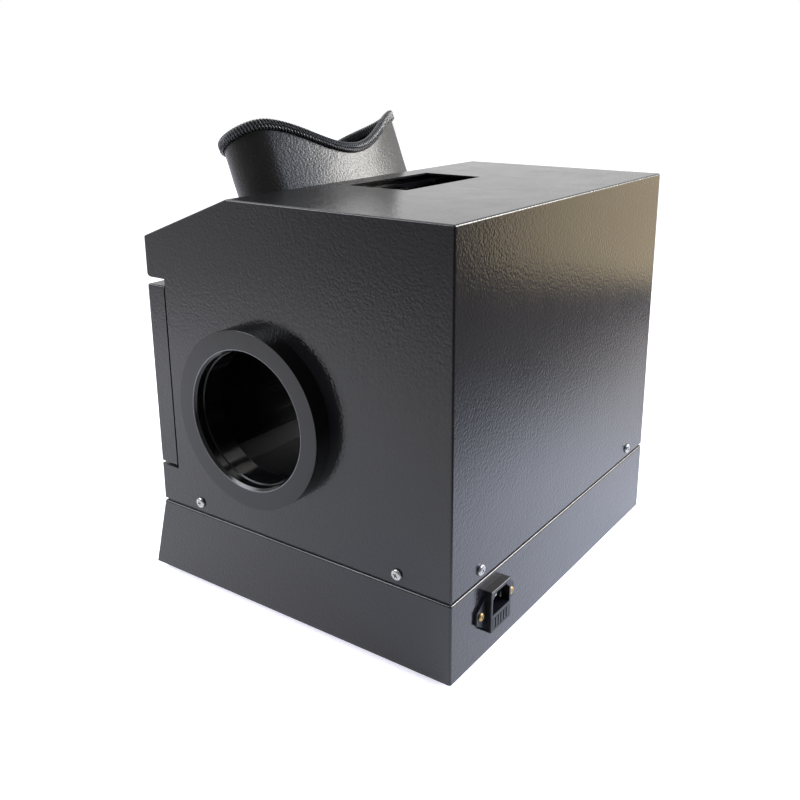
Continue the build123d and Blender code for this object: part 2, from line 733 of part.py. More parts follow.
# ------------------------------------------------------------------ deck and light table
def chamber_floor():
    """Deck tray: chamber floor, light-table cut-out and flanges tapped for the screws."""
    half_x = HALF_W - SHEET - FIT
    half_y = HALF_D - SHEET - FIT
    tray = block((-half_x, half_x), (-half_y, half_y), (DECK_Z, FLOOR_Z + DECK_FLANGE_H))
    inner_x = half_x - SHEET
    inner_y = half_y - SHEET
    tray -= block((-inner_x, inner_x), (-inner_y, inner_y), (FLOOR_Z, TOP_Z))
    planes = side_screw_planes(inner_x) + rear_screw_planes(inner_y)
    for plane in planes:
        tray += plane * rod(NUT_R, -NUT_T, 0)
        tray -= plane * rod(SCREW_R + HOLE_GAP, -2 * NUT_T, 2 * SHEET)
    cut_x = FILTER_W / 2 + FILTER_FIT + FRAME_WALL + DECK_CUT_GAP
    cut_y = FILTER_D / 2 + FILTER_FIT + FRAME_WALL + DECK_CUT_GAP
    cut_z = (DECK_Z - SHEET, FLOOR_Z + SHEET)
    return tray - block((-cut_x, cut_x), (TABLE_Y - cut_y, TABLE_Y + cut_y), cut_z)


def table_rectangle(grow, low, high):
    """A rectangular block round the filter's outline, grown on all sides."""
    x = FILTER_W / 2 + grow
    y = FILTER_D / 2 + grow
    return block((-x, x), (TABLE_Y - y, TABLE_Y + y), (low, high))


def filter_frame():
    """Bezel of the light table: flange on the deck, downstand and ledge for the glass."""
    ledge_top = TABLE_TOP_Z - FRAME_FLANGE_T - FILTER_T
    low = ledge_top - LEDGE_T
    wall = FILTER_FIT + FRAME_WALL
    flange = table_rectangle(wall + FRAME_FLANGE, FLOOR_Z, TABLE_TOP_Z)
    flange = fillet(flange.edges().filter_by(Axis.Z), FRAME_FLANGE / 2)
    frame = flange + table_rectangle(wall, low, TABLE_TOP_Z)
    frame -= table_rectangle(FILTER_FIT, ledge_top, TABLE_TOP_Z + CUT_OVER)
    return frame - table_rectangle(-FILTER_LEDGE, low - CUT_OVER, TABLE_TOP_Z)


def uv_filter_glass():
    """Dark UV-passing glass that the gel lies on."""
    top = TABLE_TOP_Z - FRAME_FLANGE_T
    return table_rectangle(0, top - FILTER_T, top)


def reflector_sizes():
    """Half length, half depth and floor level of the lower reflector's inside."""
    half_x = TUBE_L / 2 + HOLDER_GAP + HOLDER_T
    half_y = FILTER_D / 2 + FILTER_FIT + FRAME_WALL + REFLECTOR_GAP
    return half_x, half_y, DECK_Z - REFLECTOR_DEPTH


def lower_reflector():
    """Aluminium trough hung from the deck by its lip."""
    half_x, half_y, floor = reflector_sizes()
    lip_x = half_x + FOIL + REFLECTOR_LIP
    lip_y = half_y + FOIL + REFLECTOR_LIP
    lip = block((-lip_x, lip_x), (TABLE_Y - lip_y, TABLE_Y + lip_y), (DECK_Z - FOIL, DECK_Z))
    outer_x = half_x + FOIL
    outer_y = half_y + FOIL
    trough = block((-outer_x, outer_x), (TABLE_Y - outer_y, TABLE_Y + outer_y), (floor - FOIL, DECK_Z))
    inside = block((-half_x, half_x), (TABLE_Y - half_y, TABLE_Y + half_y), (floor, TOP_Z))
    return lip + trough - inside


def tube_rows(count, pitch, centre_y):
    """The y of each tube in a row of tubes."""
    return [centre_y + pitch * (index - (count - 1) / 2) for index in range(count)]


def tube_glasses(rows, z):
    """The glass of each tube, along X."""
    half = TUBE_L / 2 - CAP_L
    glasses = Part()
    for y in rows:
        glasses += Plane(origin=(0, y, z), x_dir=(0, 1, 0), z_dir=(1, 0, 0)) * rod(TUBE_R, -half, half)
    return glasses


def tube_caps(rows, z):
    """The end caps of each tube, with their two pins."""
    half = TUBE_L / 2
    cap = rod(CAP_R, half - CAP_L, half)
    for across in (-TUBE_PIN_SPACING / 2, TUBE_PIN_SPACING / 2):
        cap += Pos(across, 0, 0) * rod(TUBE_PIN_R, half, half + TUBE_PIN_L)
    caps = Part()
    for y in rows:
        for side in (-1, 1):
            caps += Plane(origin=(0, y, z), x_dir=(0, 1, 0), z_dir=(side, 0, 0)) * cap
    return caps


def lamp_holders(rows, z, seat):
    """Tube holders from the seat level to past the tubes' axis, slotted for the pins."""
    beyond = HOLDER_ABOVE if z > seat else -HOLDER_ABOVE
    inner = TUBE_L / 2 + HOLDER_GAP
    slot_half = TUBE_PIN_R + CLEAR_GAP
    holders = Part()
    for y in rows:
        wide = (y - HOLDER_W / 2, y + HOLDER_W / 2)
        body = block((inner, inner + HOLDER_T), wide, sorted((seat, z + beyond)))
        deep = (inner - CUT_OVER, inner + HOLDER_SLOT_DEPTH)
        for pin_y in (y - TUBE_PIN_SPACING / 2, y + TUBE_PIN_SPACING / 2):
            slot_z = sorted((z - slot_half if z > seat else z + slot_half, z + 2 * beyond))
            body -= block(deep, (pin_y - slot_half, pin_y + slot_half), slot_z)
        for piece in both_sides(body):
            holders += piece
    return holders


def ballasts():
    """Two encased ballasts on the bottom plate, with screw feet at their ends."""
    case = block((-BALLAST_W / 2, BALLAST_W / 2), (-BALLAST_L / 2, BALLAST_L / 2), (0, BALLAST_H))
    case = fillet(case.edges().filter_by(Axis.Y).sort_by(Axis.Z)[-2:], BALLAST_R)
    reach = BALLAST_L / 2 + BALLAST_FOOT
    case += block((-BALLAST_W / 2, BALLAST_W / 2), (-reach, reach), (0, BALLAST_FOOT_T))
    for y in (-reach + BALLAST_FOOT / 2, reach - BALLAST_FOOT / 2):
        case -= Pos(0, y, 0) * rod(SCREW_R, -CUT_OVER, 2 * BALLAST_FOOT_T)
    x = reflector_sizes()[0] + FOIL + BALLAST_GAP + BALLAST_W / 2
    return Pos(x, TABLE_Y, BASE_Z) * case + Pos(-x, TABLE_Y, BASE_Z) * case


# ------------------------------------------------------------------ upper lamp
def upper_lamp_levels():
    """Bottom, tube axis and top of the upper lamp housing."""
    top = TOP_Z - SHEET
    return top - LAMP_DEPTH, top - FOIL - TUBE_RISE, top


def lamp_block(half_x, half_y, low, high):
    """A block centred on the upper lamp."""
    return block((-half_x, half_x), (LAMP_Y - half_y, LAMP_Y + half_y), (low, high))


def upper_lamp_housing():
    """Lamp box under the cabinet's top, open below inside a lip that holds the pane."""
    low, _, top = upper_lamp_levels()
    half_x = TUBE_L / 2 + HOLDER_GAP + HOLDER_T + FOIL
    half_y = LAMP_D / 2
    box = lamp_block(half_x, half_y, low, top)
    box -= lamp_block(half_x - FOIL, half_y - FOIL, low + FOIL, top - FOIL)
    return box - lamp_block(half_x - LAMP_LIP, half_y - LAMP_LIP, low - CUT_OVER, low + 2 * FOIL)


def upper_filter_glass():
    """Filter pane resting on the lamp housing's lip."""
    low = upper_lamp_levels()[0] + FOIL
    half_x = TUBE_L / 2 + HOLDER_GAP + HOLDER_T - PANE_GAP
    return lamp_block(half_x, LAMP_D / 2 - FOIL - PANE_GAP, low, low + PANE_T)


# ------------------------------------------------------------------ base
def base_outline():
    """The base seen from its side, as (y, z) corners."""
    return [
        (-HALF_D - BASE_TOE, BASE_Z),
        (HALF_D, BASE_Z),
        (HALF_D, DECK_Z),
        (-HALF_D, DECK_Z),
    ]


def foot_points():
    """Where the four feet stand, as (x, y)."""
    front = -HALF_D - BASE_TOE + FOOT_INSET
    return [
        (x, y)
        for x in (-HALF_W + FOOT_INSET, HALF_W - FOOT_INSET)
        for y in (front, HALF_D - FOOT_INSET)
    ]


def switch_planes():
    """Outward planes of the three switches on the base's sloped front."""
    y, z = TOE_MIDDLE
    return [
        Plane(origin=(SWITCH_SPACING * step, y, z), x_dir=(1, 0, 0), z_dir=TOE_NORMAL)
        for step in (-1, 0, 1)
    ]


def base_housing():
    """Folded base with a sloped front, inward flanges, switch and inlet cut-outs."""
    skin = prism(base_outline(), HALF_W)
    folds = skin.edges().filter_by(lambda edge: edge.center().Z > BASE_Z + SHEET)
    skin = fillet(folds, BEND_R)
    inside = offset(outline(base_outline()), -SHEET, kind=Kind.INTERSECTION)
    base = skin - extrude(Plane.YZ * inside, amount=HALF_W - SHEET, both=True)
    x = HALF_W - BASE_FLANGE
    y = (-HALF_D + BASE_FLANGE, HALF_D - BASE_FLANGE)
    base -= block((-x, x), y, (DECK_Z - 2 * SHEET, DECK_Z + SHEET))
    front = -HALF_D - BASE_TOE
    window = block((-x, x), (front + BASE_FLANGE, HALF_D - BASE_FLANGE), (BASE_Z - SHEET, BASE_Z + SHEET))
    corner = FOOT_PAD - BASE_FLANGE
    for side_x, y in ((x, front + BASE_FLANGE), (x, HALF_D - BASE_FLANGE)):
        for side in (-1, 1):
            window -= block(
                (side * side_x - corner, side * side_x + corner),
                (y - corner, y + corner),
                (BASE_Z - 2 * SHEET, BASE_Z + 2 * SHEET),
            )
    base -= window
    for x, y in foot_points():
        base += Pos(x, y, BASE_Z + SHEET) * rod(NUT_R, 0, NUT_T)
        base -= Pos(x, y, BASE_Z) * rod(SCREW_R + HOLE_GAP, -SHEET, SHEET + 2 * NUT_T)
    for plane in switch_planes():
        hole = Rectangle(SWITCH_BODY_W + 2 * SWITCH_CUT_GAP, SWITCH_BODY_H + 2 * SWITCH_CUT_GAP)
        base -= raised(hole, plane, -2 * SHEET, SHEET)
    base -= raised(inlet_body_outline(INLET_CUT_GAP), INLET, -2 * SHEET, SHEET)
    for x in (-EAR_SCREW_SPACING / 2, EAR_SCREW_SPACING / 2):
        base -= INLET * (Pos(x, 0, 0) * rod(EAR_SCREW_R + HOLE_GAP, -2 * SHEET, SHEET))
    return base


def bottom_plate():
    """Flat plate screwed under the base's flange."""
    half_x = HALF_W - BOTTOM_INSET
    y = (-HALF_D - BASE_TOE + BOTTOM_INSET, HALF_D - BOTTOM_INSET)
    plate = block((-half_x, half_x), y, (FOOT_H, BASE_Z))
    for x, foot_y in foot_points():
        plate -= Pos(x, foot_y, FOOT_H) * rod(SCREW_R + CLEAR_GAP, -CUT_OVER, SHEET + CUT_OVER)
    return plate


def rubber_feet():
    """Four turned rubber feet with a well for the screw's head."""
    bore = SCREW_R + CLEAR_GAP
    foot = turned([
        (bore, FOOT_WELL),
        (FOOT_WELL_R, FOOT_WELL),
        (FOOT_WELL_R, 0),
        (FOOT_TIP_R, 0),
        (FOOT_R, FOOT_H),
        (bore, FOOT_H),
    ])
    feet = Part()
    for x, y in foot_points():
        feet += Pos(x, y, 0) * foot
    return feet


def feet_screws():
    """Screws up through the feet and the bottom plate into the base's flange."""
    screws = Part()
    for x, y in foot_points():
        screw = pan_screw(FOOT_SCREW_HEAD_R, SCREW_HEAD_H, SCREW_R, FOOT_SCREW_L)
        screws += Pos(x, y, FOOT_WELL) * (Rot(180, 0, 0) * screw)
    return screws


# ------------------------------------------------------------------ rocker switches
def switch_housing(plane):
    """Snap-in switch body: bezel, well with pivot holes, two terminals."""
    body = raised(Rectangle(SWITCH_BODY_W, SWITCH_BODY_H), Plane.XY, -SWITCH_BODY_L, 0)
    bezel = raised(RectangleRounded(SWITCH_BEZEL_W, SWITCH_BEZEL_H, 1), Plane.XY, 0, SWITCH_BEZEL_T)
    body += chamfer(bezel.faces().sort_by(Axis.Z)[-1].edges(), SWITCH_BEZEL_T / 3)
    body -= raised(Rectangle(WELL_W, WELL_H), Plane.XY, -WELL_DEPTH, 2 * SWITCH_BEZEL_T)
    pivot = Pos(0, 0, -ROCKER_PIVOT) * (Rot(0, 90, 0) * Cylinder(PIVOT_R + PIVOT_GAP, WELL_W + 2 * PIVOT_L))
    body -= pivot
    for y in (-SWITCH_TAB_SPACING / 2, SWITCH_TAB_SPACING / 2):
        tab = block(
            (-SWITCH_TAB_W / 2, SWITCH_TAB_W / 2),
            (y - SWITCH_TAB_T / 2, y + SWITCH_TAB_T / 2),
            (-SWITCH_BODY_L - SWITCH_TAB_L, -SWITCH_BODY_L),
        )
        body += tab
    return plane * body


def rocker(plane):
    """Rocker with a shallow V on top, a round belly and two pivots, lying in its OFF tilt."""
    pivot_z = -ROCKER_PIVOT
    head = outline([
        (-ROCKER_HALF, pivot_z),
        (ROCKER_HALF, pivot_z),
        (ROCKER_HALF, ROCKER_END),
        (0, ROCKER_MIDDLE),
        (-ROCKER_HALF, ROCKER_END),
    ])
    belly = Pos(0, pivot_z) * Circle(ROCKER_BELLY_R)
    paddle = extrude(Plane.YZ * (head + belly), amount=ROCKER_W / 2, both=True)
    pins = Pos(0, 0, pivot_z) * (Rot(0, 90, 0) * Cylinder(PIVOT_R, WELL_W + PIVOT_L))
    centred = Pos(0, 0, -pivot_z) * (paddle + pins)
    return plane * (Pos(0, 0, pivot_z) * (Rot(ROCKER_TILT, 0, 0) * centred))


# ------------------------------------------------------------------ mains inlet
def inlet_body_outline(gap):
    """The part of the inlet that passes through the sheet, grown by gap."""
    shrink = 2 * (INLET_BODY_GAP - gap)
    return Rectangle(INLET_W - shrink, INLET_H - shrink)


def socket_outline():
    """Inlet socket with its two keyed upper corners."""
    half = SOCKET_W / 2
    top = INLET_H / 2 - SOCKET_TOP
    low = top - SOCKET_H
    return outline([
        (-half, low),
        (half, low),
        (half, top - SOCKET_CORNER),
        (half - SOCKET_CORNER, top),
        (-half + SOCKET_CORNER, top),
        (-half, top - SOCKET_CORNER),
    ])


def drawer_centre():
    """Height of the fuse drawer's middle above the inlet's middle."""
    return -INLET_H / 2 + DRAWER_BOTTOM + DRAWER_H / 2


def blade_points():
    """The three contact blades, as (x, y) in the inlet's plane."""
    middle = INLET_H / 2 - SOCKET_TOP - SOCKET_H / 2
    side = BLADE_SPACING / 2
    return [(0, middle + EARTH_RISE), (-side, middle - LIVE_DROP), (side, middle - LIVE_DROP)]


def inlet_body():
    """Moulded inlet: proud block, angled screw ears, socket, drawer well, rear body."""
    front = raised(RectangleRounded(INLET_W, INLET_H, INLET_R), INLET, 0, INLET_STAND)
    front = chamfer(front.faces().sort_by(Axis.Y)[-1].edges(), INLET_R / 3)
    half = INLET_W / 2
    ears = outline([
        (-half, -EAR_ROOT / 2),
        (half, -EAR_ROOT / 2),
        (EAR_SPAN / 2, -EAR_TIP / 2),
        (EAR_SPAN / 2, EAR_TIP / 2),
        (half, EAR_ROOT / 2),
        (-half, EAR_ROOT / 2),
        (-EAR_SPAN / 2, EAR_TIP / 2),
        (-EAR_SPAN / 2, -EAR_TIP / 2),
    ])
    body = front + raised(ears, INLET, 0, EAR_T)
    body += raised(inlet_body_outline(0), INLET, -INLET_BODY_L, 0)
    body -= raised(socket_outline(), INLET, INLET_STAND - SOCKET_DEPTH, INLET_STAND + CUT_OVER)
    well = Pos(0, drawer_centre()) * Rectangle(DRAWER_W + 2 * DRAWER_GAP, DRAWER_H + 2 * DRAWER_GAP)
    body -= raised(well, INLET, INLET_STAND - DRAWER_L - DRAWER_GAP, INLET_STAND + CUT_OVER)
    for x in (-EAR_SCREW_SPACING / 2, EAR_SCREW_SPACING / 2):
        body -= INLET * (Pos(x, 0, 0) * rod(EAR_SCREW_R + CLEAR_GAP, -CUT_OVER, 2 * EAR_T))
    for x, y in blade_points():
        slot = Pos(x, y) * Rectangle(BLADE_T + 2 * BLADE_GAP, BLADE_W + 2 * BLADE_GAP)
        body -= raised(slot, INLET, -INLET_BODY_L - CUT_OVER, INLET_STAND - SOCKET_DEPTH + CUT_OVER)
    return body


def inlet_pins():
    """Three contact blades, standing in the socket and out of the body's back."""
    floor = INLET_STAND - SOCKET_DEPTH
    blades = Part()
    for x, y in blade_points():
        face = Pos(x, y) * Rectangle(BLADE_T, BLADE_W)
        blades += raised(face, INLET, floor - BLADE_ROOT - SHEET, floor + BLADE_L)
    return blades


def inlet_screws():
    """Two screws through the inlet's ears."""
    screws = Part()
    for x in (-EAR_SCREW_SPACING / 2, EAR_SCREW_SPACING / 2):
        screw = pan_screw(EAR_SCREW_HEAD_R, EAR_SCREW_HEAD_H, EAR_SCREW_R, EAR_SCREW_L)
        screws += INLET * (Pos(x, 0, EAR_T) * screw)
    return screws


def fuse_drawer():
    """Fuse drawer with a ribbed face and a cradle that is open on top."""
    y = drawer_centre()
    drawer = raised(Pos(0, y) * Rectangle(DRAWER_W, DRAWER_H), INLET, INLET_STAND - DRAWER_L, INLET_STAND)
    pitch = DRAWER_W / (GRIP_RIBS + 1)
    for index in range(GRIP_RIBS):
        groove = Pos((index - (GRIP_RIBS - 1) / 2) * pitch, y) * Rectangle(pitch / 3, DRAWER_H)
        drawer -= raised(groove, INLET, INLET_STAND - GRIP_DEPTH, INLET_STAND + CUT_OVER)
    cradle = INLET * (Pos(0, y, INLET_STAND - FUSE_INSET) * (Rot(0, 90, 0) * Cylinder(
        FUSE_R + FUSE_GAP, FUSE_L + 2 * FUSE_GAP)))
    wide = FUSE_R + FUSE_GAP
    mouth = Pos(0, y + DRAWER_H / 2) * Rectangle(FUSE_L + 2 * FUSE_GAP, DRAWER_H)
    mouth = raised(mouth, INLET, INLET_STAND - FUSE_INSET - wide, INLET_STAND - FUSE_INSET + wide)
    return drawer - cradle - mouth


def fuse():
    """Glass cartridge fuse lying in the drawer's cradle."""
    half = FUSE_L / 2
    waist = half - FUSE_CAP_L
    cartridge = turned([
        (0, -half),
        (FUSE_R, -half),
        (FUSE_R, -waist),
        (FUSE_GLASS_R, -waist),
        (FUSE_GLASS_R, waist),
        (FUSE_R, waist),
        (FUSE_R, half),
        (0, half),
    ])
    centre = Pos(0, drawer_centre() - FUSE_GAP, INLET_STAND - FUSE_INSET)
    return INLET * (centre * (Rot(0, 90, 0) * cartridge))


# ------------------------------------------------------------------ all nodes
def paired(name, shape):
    """The right-hand and left-hand nodes of a mirrored piece."""
    right, left = both_sides(shape)
    return {name + "_right": right, name + "_left": left}


def lamps():
    """The tubes and holders of the light table and of the upper lamp."""
    floor = reflector_sizes()[2]
    lower = (tube_rows(LOWER_TUBES, LOWER_PITCH, TABLE_Y), floor + TUBE_RISE, floor)
    _, axis, top = upper_lamp_levels()
    upper = (tube_rows(UPPER_TUBES, UPPER_PITCH, LAMP_Y), axis, top - FOIL)
    nodes = {}
    for place, (rows, z, seat) in (("lower", lower), ("upper", upper)):
        nodes[place + "_tube_glass"] = tube_glasses(rows, z)
        nodes[place + "_tube_caps"] = tube_caps(rows, z)
        nodes[place + "_lamp_holders"] = lamp_holders(rows, z, seat)
    return nodes


def switches():
    """The three rocker switches, named by what they switch."""
    nodes = {}
    for name, plane in zip(("upper_lamp", "power", "lower_lamp"), switch_planes()):
        nodes["switch_housing_" + name] = switch_housing(plane)
        nodes["rocker_" + name] = rocker(plane)
    return nodes


def all_nodes():
    """Every node of the assembly by name."""
    nodes = {
        "cabinet_wrap": cabinet_wrap(),
        "front_strip": front_strip(),
        "front_frame": front_frame(),
        "door_seal": door_seal(),
        "door_magnets": door_magnets(),
        "front_door": front_door(),
        "door_knob": door_knob(),
        "door_knob_screw": door_knob_screw(),
        "door_hinge_fixed_leaf": hinge_leaf(-1, 0),
        "door_hinge_moving_leaf": hinge_leaf(1, 1),
        "door_hinge_pin": door_hinge_pin(),
        "viewing_hood": viewing_hood(),
        "hood_edge_trim": hood_edge_trim(),
        "window_gasket": window_gasket(),
        "viewing_window": viewing_window(),
        "hood_clamp_frame": hood_clamp_frame(),
        "hood_clamp_studs": hood_clamp_studs(),
        "hood_clamp_screws": hood_clamp_screws(),
        "housing_screws": housing_screws(),
        "chamber_floor": chamber_floor(),
        "filter_frame": filter_frame(),
        "uv_filter_glass": uv_filter_glass(),
        "lower_reflector": lower_reflector(),
        "ballasts": ballasts(),
        "upper_lamp_housing": upper_lamp_housing(),
        "upper_filter_glass": upper_filter_glass(),
        "base_housing": base_housing(),
        "bottom_plate": bottom_plate(),
        "rubber_feet": rubber_feet(),
        "feet_screws": feet_screws(),
        "inlet_body": inlet_body(),
        "inlet_pins": inlet_pins(),
        "inlet_screws": inlet_screws(),
        "fuse_drawer": fuse_drawer(),
        "fuse": fuse(),
    }
    nodes.update(paired("cabinet_side", cabinet_side()))
    nodes.update(paired("hand_port_collar", hand_port_collar()))
    nodes.update(paired("hand_port_lock_ring", hand_port_lock_ring()))
    nodes.update(lamps())
    nodes.update(switches())
    return nodes


def main():
    """Write one STEP file per node, with the origin at the middle of the footprint."""
    os.makedirs("parts", exist_ok=True)
    for name, shape in all_nodes().items():
        export_step(Pos(0, FRAME_SHIFT, 0) * shape, "parts/" + name + ".step")


if __name__ == "__main__":
    main()
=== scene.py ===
"""Gel documentation system: a dark viewing cabinet on a lamp base, dressed for its pictures.

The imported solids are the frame. The turned, moulded and sewn pieces are modelled again here with
smooth forms and fine detail, and every solid that stays gets a finish of its own.
"""
import json
import logging
from collections.abc import Callable, Iterable, Sequence
from dataclasses import dataclass, field
from enum import Enum
from math import atan2, cos, hypot, pi, radians, sin
from typing import ClassVar

import bpy
from mathutils import Matrix, Vector

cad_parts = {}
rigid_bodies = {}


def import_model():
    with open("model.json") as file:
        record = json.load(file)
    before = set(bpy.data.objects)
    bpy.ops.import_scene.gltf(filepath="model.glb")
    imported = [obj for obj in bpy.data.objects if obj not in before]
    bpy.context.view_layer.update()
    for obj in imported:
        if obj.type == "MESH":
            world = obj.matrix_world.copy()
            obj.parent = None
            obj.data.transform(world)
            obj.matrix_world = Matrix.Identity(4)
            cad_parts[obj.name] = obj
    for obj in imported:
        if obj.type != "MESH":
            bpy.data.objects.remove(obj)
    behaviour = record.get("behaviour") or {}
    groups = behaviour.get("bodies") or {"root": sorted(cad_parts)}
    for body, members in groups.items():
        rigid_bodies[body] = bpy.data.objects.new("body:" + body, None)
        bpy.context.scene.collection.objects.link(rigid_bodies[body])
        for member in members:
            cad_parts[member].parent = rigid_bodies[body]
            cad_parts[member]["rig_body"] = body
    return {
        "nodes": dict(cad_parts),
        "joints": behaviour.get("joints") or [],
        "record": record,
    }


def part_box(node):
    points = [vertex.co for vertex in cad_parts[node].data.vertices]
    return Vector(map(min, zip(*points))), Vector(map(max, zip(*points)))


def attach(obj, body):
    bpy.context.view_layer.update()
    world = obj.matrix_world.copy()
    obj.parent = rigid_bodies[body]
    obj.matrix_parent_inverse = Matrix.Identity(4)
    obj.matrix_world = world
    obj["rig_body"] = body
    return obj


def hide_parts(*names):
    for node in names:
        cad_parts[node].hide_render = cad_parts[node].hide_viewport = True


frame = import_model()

MM = 0.001
DOUBLES_GAP = 0.002 * MM
CAD_DOUBLES_GAP = 0.004 * MM
FACE_WEIGHT = 80
FLAT_ANGLE = radians(1)
LATHE_EDGE = radians(28)
MOULDED_EDGE = radians(35)
LOG = logging.getLogger("gel_cabinet")

Point = tuple[float, float, float]
Flat = tuple[float, float]
Colour = tuple[float, float, float]
Value = "Signal | float | Sequence[float]"

WHITE: Colour = (1.0, 1.0, 1.0)
BLACK: Colour = (0.0, 0.0, 0.0)


# ---- shader arithmetic
@dataclass(frozen=True)
class Signal:
    """A shader's output socket that takes arithmetic, one Math node for each operation."""

    paint: "Paint"
    socket: bpy.types.NodeSocket

    def _math(self, operation: str, *values: "Signal | float") -> "Signal":
        """Add one Math node.

        Args:
            operation: The Math node's operation.
            values: Its inputs, in order.

        Returns:
            The node's result.
        """
        return self.paint.node("ShaderNodeMath", {"operation": operation}, dict(enumerate(values)))

    def __add__(self, other: "Signal | float") -> "Signal":
        """Sum."""
        return self._math("ADD", self, other)

    __radd__ = __add__

    def __mul__(self, other: "Signal | float") -> "Signal":
        """Product."""
        return self._math("MULTIPLY", self, other)

    __rmul__ = __mul__

    def __sub__(self, other: "Signal | float") -> "Signal":
        """Difference."""
        return self._math("SUBTRACT", self, other)

    def __rsub__(self, other: "Signal | float") -> "Signal":
        """Difference from a number on the left."""
        return self._math("SUBTRACT", other, self)

    def between(self, low: float, high: float) -> "Signal":
        """Where the signal stands between two values, from 0 to 1.

        Args:
            low: The value that gives 0.
            high: The value that gives 1.

        Returns:
            A smooth step from 0 to 1.
        """
        settings = {"interpolation_type": "SMOOTHSTEP"}
        inputs = {"Value": self, "From Min": low, "From Max": high}
        return self.paint.node("ShaderNodeMapRange", settings, inputs)


class Paint:
    """The nodes that feed one shader of a material or of the world."""

    def __init__(
        self, owner: bpy.types.Material | bpy.types.World, shader: str = "Principled BSDF"
    ) -> None:
        """Take the owner's own shader.

        Args:
            owner: The new material or world.
            shader: The name of the shader node that the nodes feed.
        """
        owner.use_nodes = True
        self.tree = owner.node_tree
        self.surface = self.tree.nodes[shader]

    @classmethod
    def named(cls, name: str) -> "tuple[Paint, bpy.types.Material]":
        """Start a material with an empty Principled surface.

        Args:
            name: The finish's name.

        Returns:
            The paint and its material.
        """
        material = bpy.data.materials.new(name)
        return cls(material), material

    def node(
        self,
        kind: str,
        settings: dict[str, object] | None = None,
        inputs: dict[int | str, Value] | None = None,
        output: int | str = 0,
    ) -> Signal:
        """Add any shader node.

        Args:
            kind: The node's type.
            settings: Its own settings, set before its sockets.
            inputs: Values or signals by socket name or number.
            output: The output to hand back.

        Returns:
            The chosen output as a signal.
        """
        made = self.tree.nodes.new(kind)
        for name, value in (settings or {}).items():
            setattr(made, name, value)
        for name, value in (inputs or {}).items():
            self.feed(made.inputs[name], value)
        return Signal(self, made.outputs[output])

    def feed(self, socket: bpy.types.NodeSocket, value: Value) -> None:
        """Link a signal to a socket, or set a plain value on it.

        Args:
            socket: The input socket.
            value: A signal, a number or a colour.
        """
        if isinstance(value, Signal):
            self.tree.links.new(value.socket, socket)
        elif isinstance(value, (int, float)) or len(socket.default_value) == len(value):
            socket.default_value = value
        else:
            socket.default_value = (*value, 1.0)

    def place(self, stretch: Point = (1, 1, 1)) -> Signal:
        """Object coordinates in millimetres.

        Args:
            stretch: How much each axis is scaled further.

        Returns:
            The mapped coordinates.
        """
        spot = self.node("ShaderNodeTexCoord", output="Object")
        scale = tuple(factor / MM for factor in stretch)
        return self.node("ShaderNodeMapping", {}, {"Vector": spot, "Scale": scale})

    def noise(self, size: float, detail: float = 2.0, stretch: Point = (1, 1, 1)) -> Signal:
        """Soft noise.

        Args:
            size: Size of its blotches, in millimetres.
            detail: Octaves of finer noise.
            stretch: How much each axis is scaled further.

        Returns:
            A value around 0.5.
        """
        inputs = {"Vector": self.place(stretch), "Scale": 1 / size, "Detail": detail}
        return self.node("ShaderNodeTexNoise", {}, inputs)

    def cells(self, size: float) -> Signal:
        """Cell pattern with soft borders.

        Args:
            size: Size of a cell, in millimetres.

        Returns:
            The distance from the cell's middle.
        """
        inputs = {"Vector": self.place(), "Scale": 1 / size}
        return self.node("ShaderNodeTexVoronoi", {"feature": "SMOOTH_F1"}, inputs, "Distance")

    def blend(self, share: Value, first: Value, second: Value) -> Signal:
        """Mix two colours.

        Args:
            share: How much of the second, from 0 to 1.
            first: The first colour.
            second: The second colour.

        Returns:
            The mixed colour.
        """
        inputs = {"Factor": share, "A": first, "B": second}
        mix = self.tree.nodes.new("ShaderNodeMix")
        mix.data_type = "RGBA"
        for name, value in inputs.items():
            sockets = [s for s in mix.inputs if s.name == name and s.enabled]
            self.feed(sockets[0], value)
        return Signal(self, next(s for s in mix.outputs if s.enabled))

    def relief(self, height: Signal, depth: float) -> None:
        """Feed a height to the surface's normal.

        Args:
            height: The height signal, from 0 to 1.
            depth: What a height of 1 stands for, in millimetres.
        """
        inputs = {"Height": height, "Distance": depth * MM, "Strength": 1.0}
        bump = self.node("ShaderNodeBump", {}, inputs)
        self.feed(self.surface.inputs["Normal"], bump)

    def set(self, **values: Value) -> None:
        """Set the surface shader's sockets.

        Args:
            values: Values or signals, by socket name with underscores for spaces.
        """
        for name, value in values.items():
            self.feed(self.surface.inputs[name.replace("_", " ")], value)


# ---- finishes
class Grain(Enum):
    """The fine relief of a surface."""

    ORANGE_PEEL = "wavy skin of a baked powder coat"
    PEBBLE = "pebbles pressed into leatherette"
    MATT = "fine even grain of a moulded or rubber surface"
    BRUSHED = "long scratches along one axis"
    CAST = "soft unevenness of a drawn or poured surface"


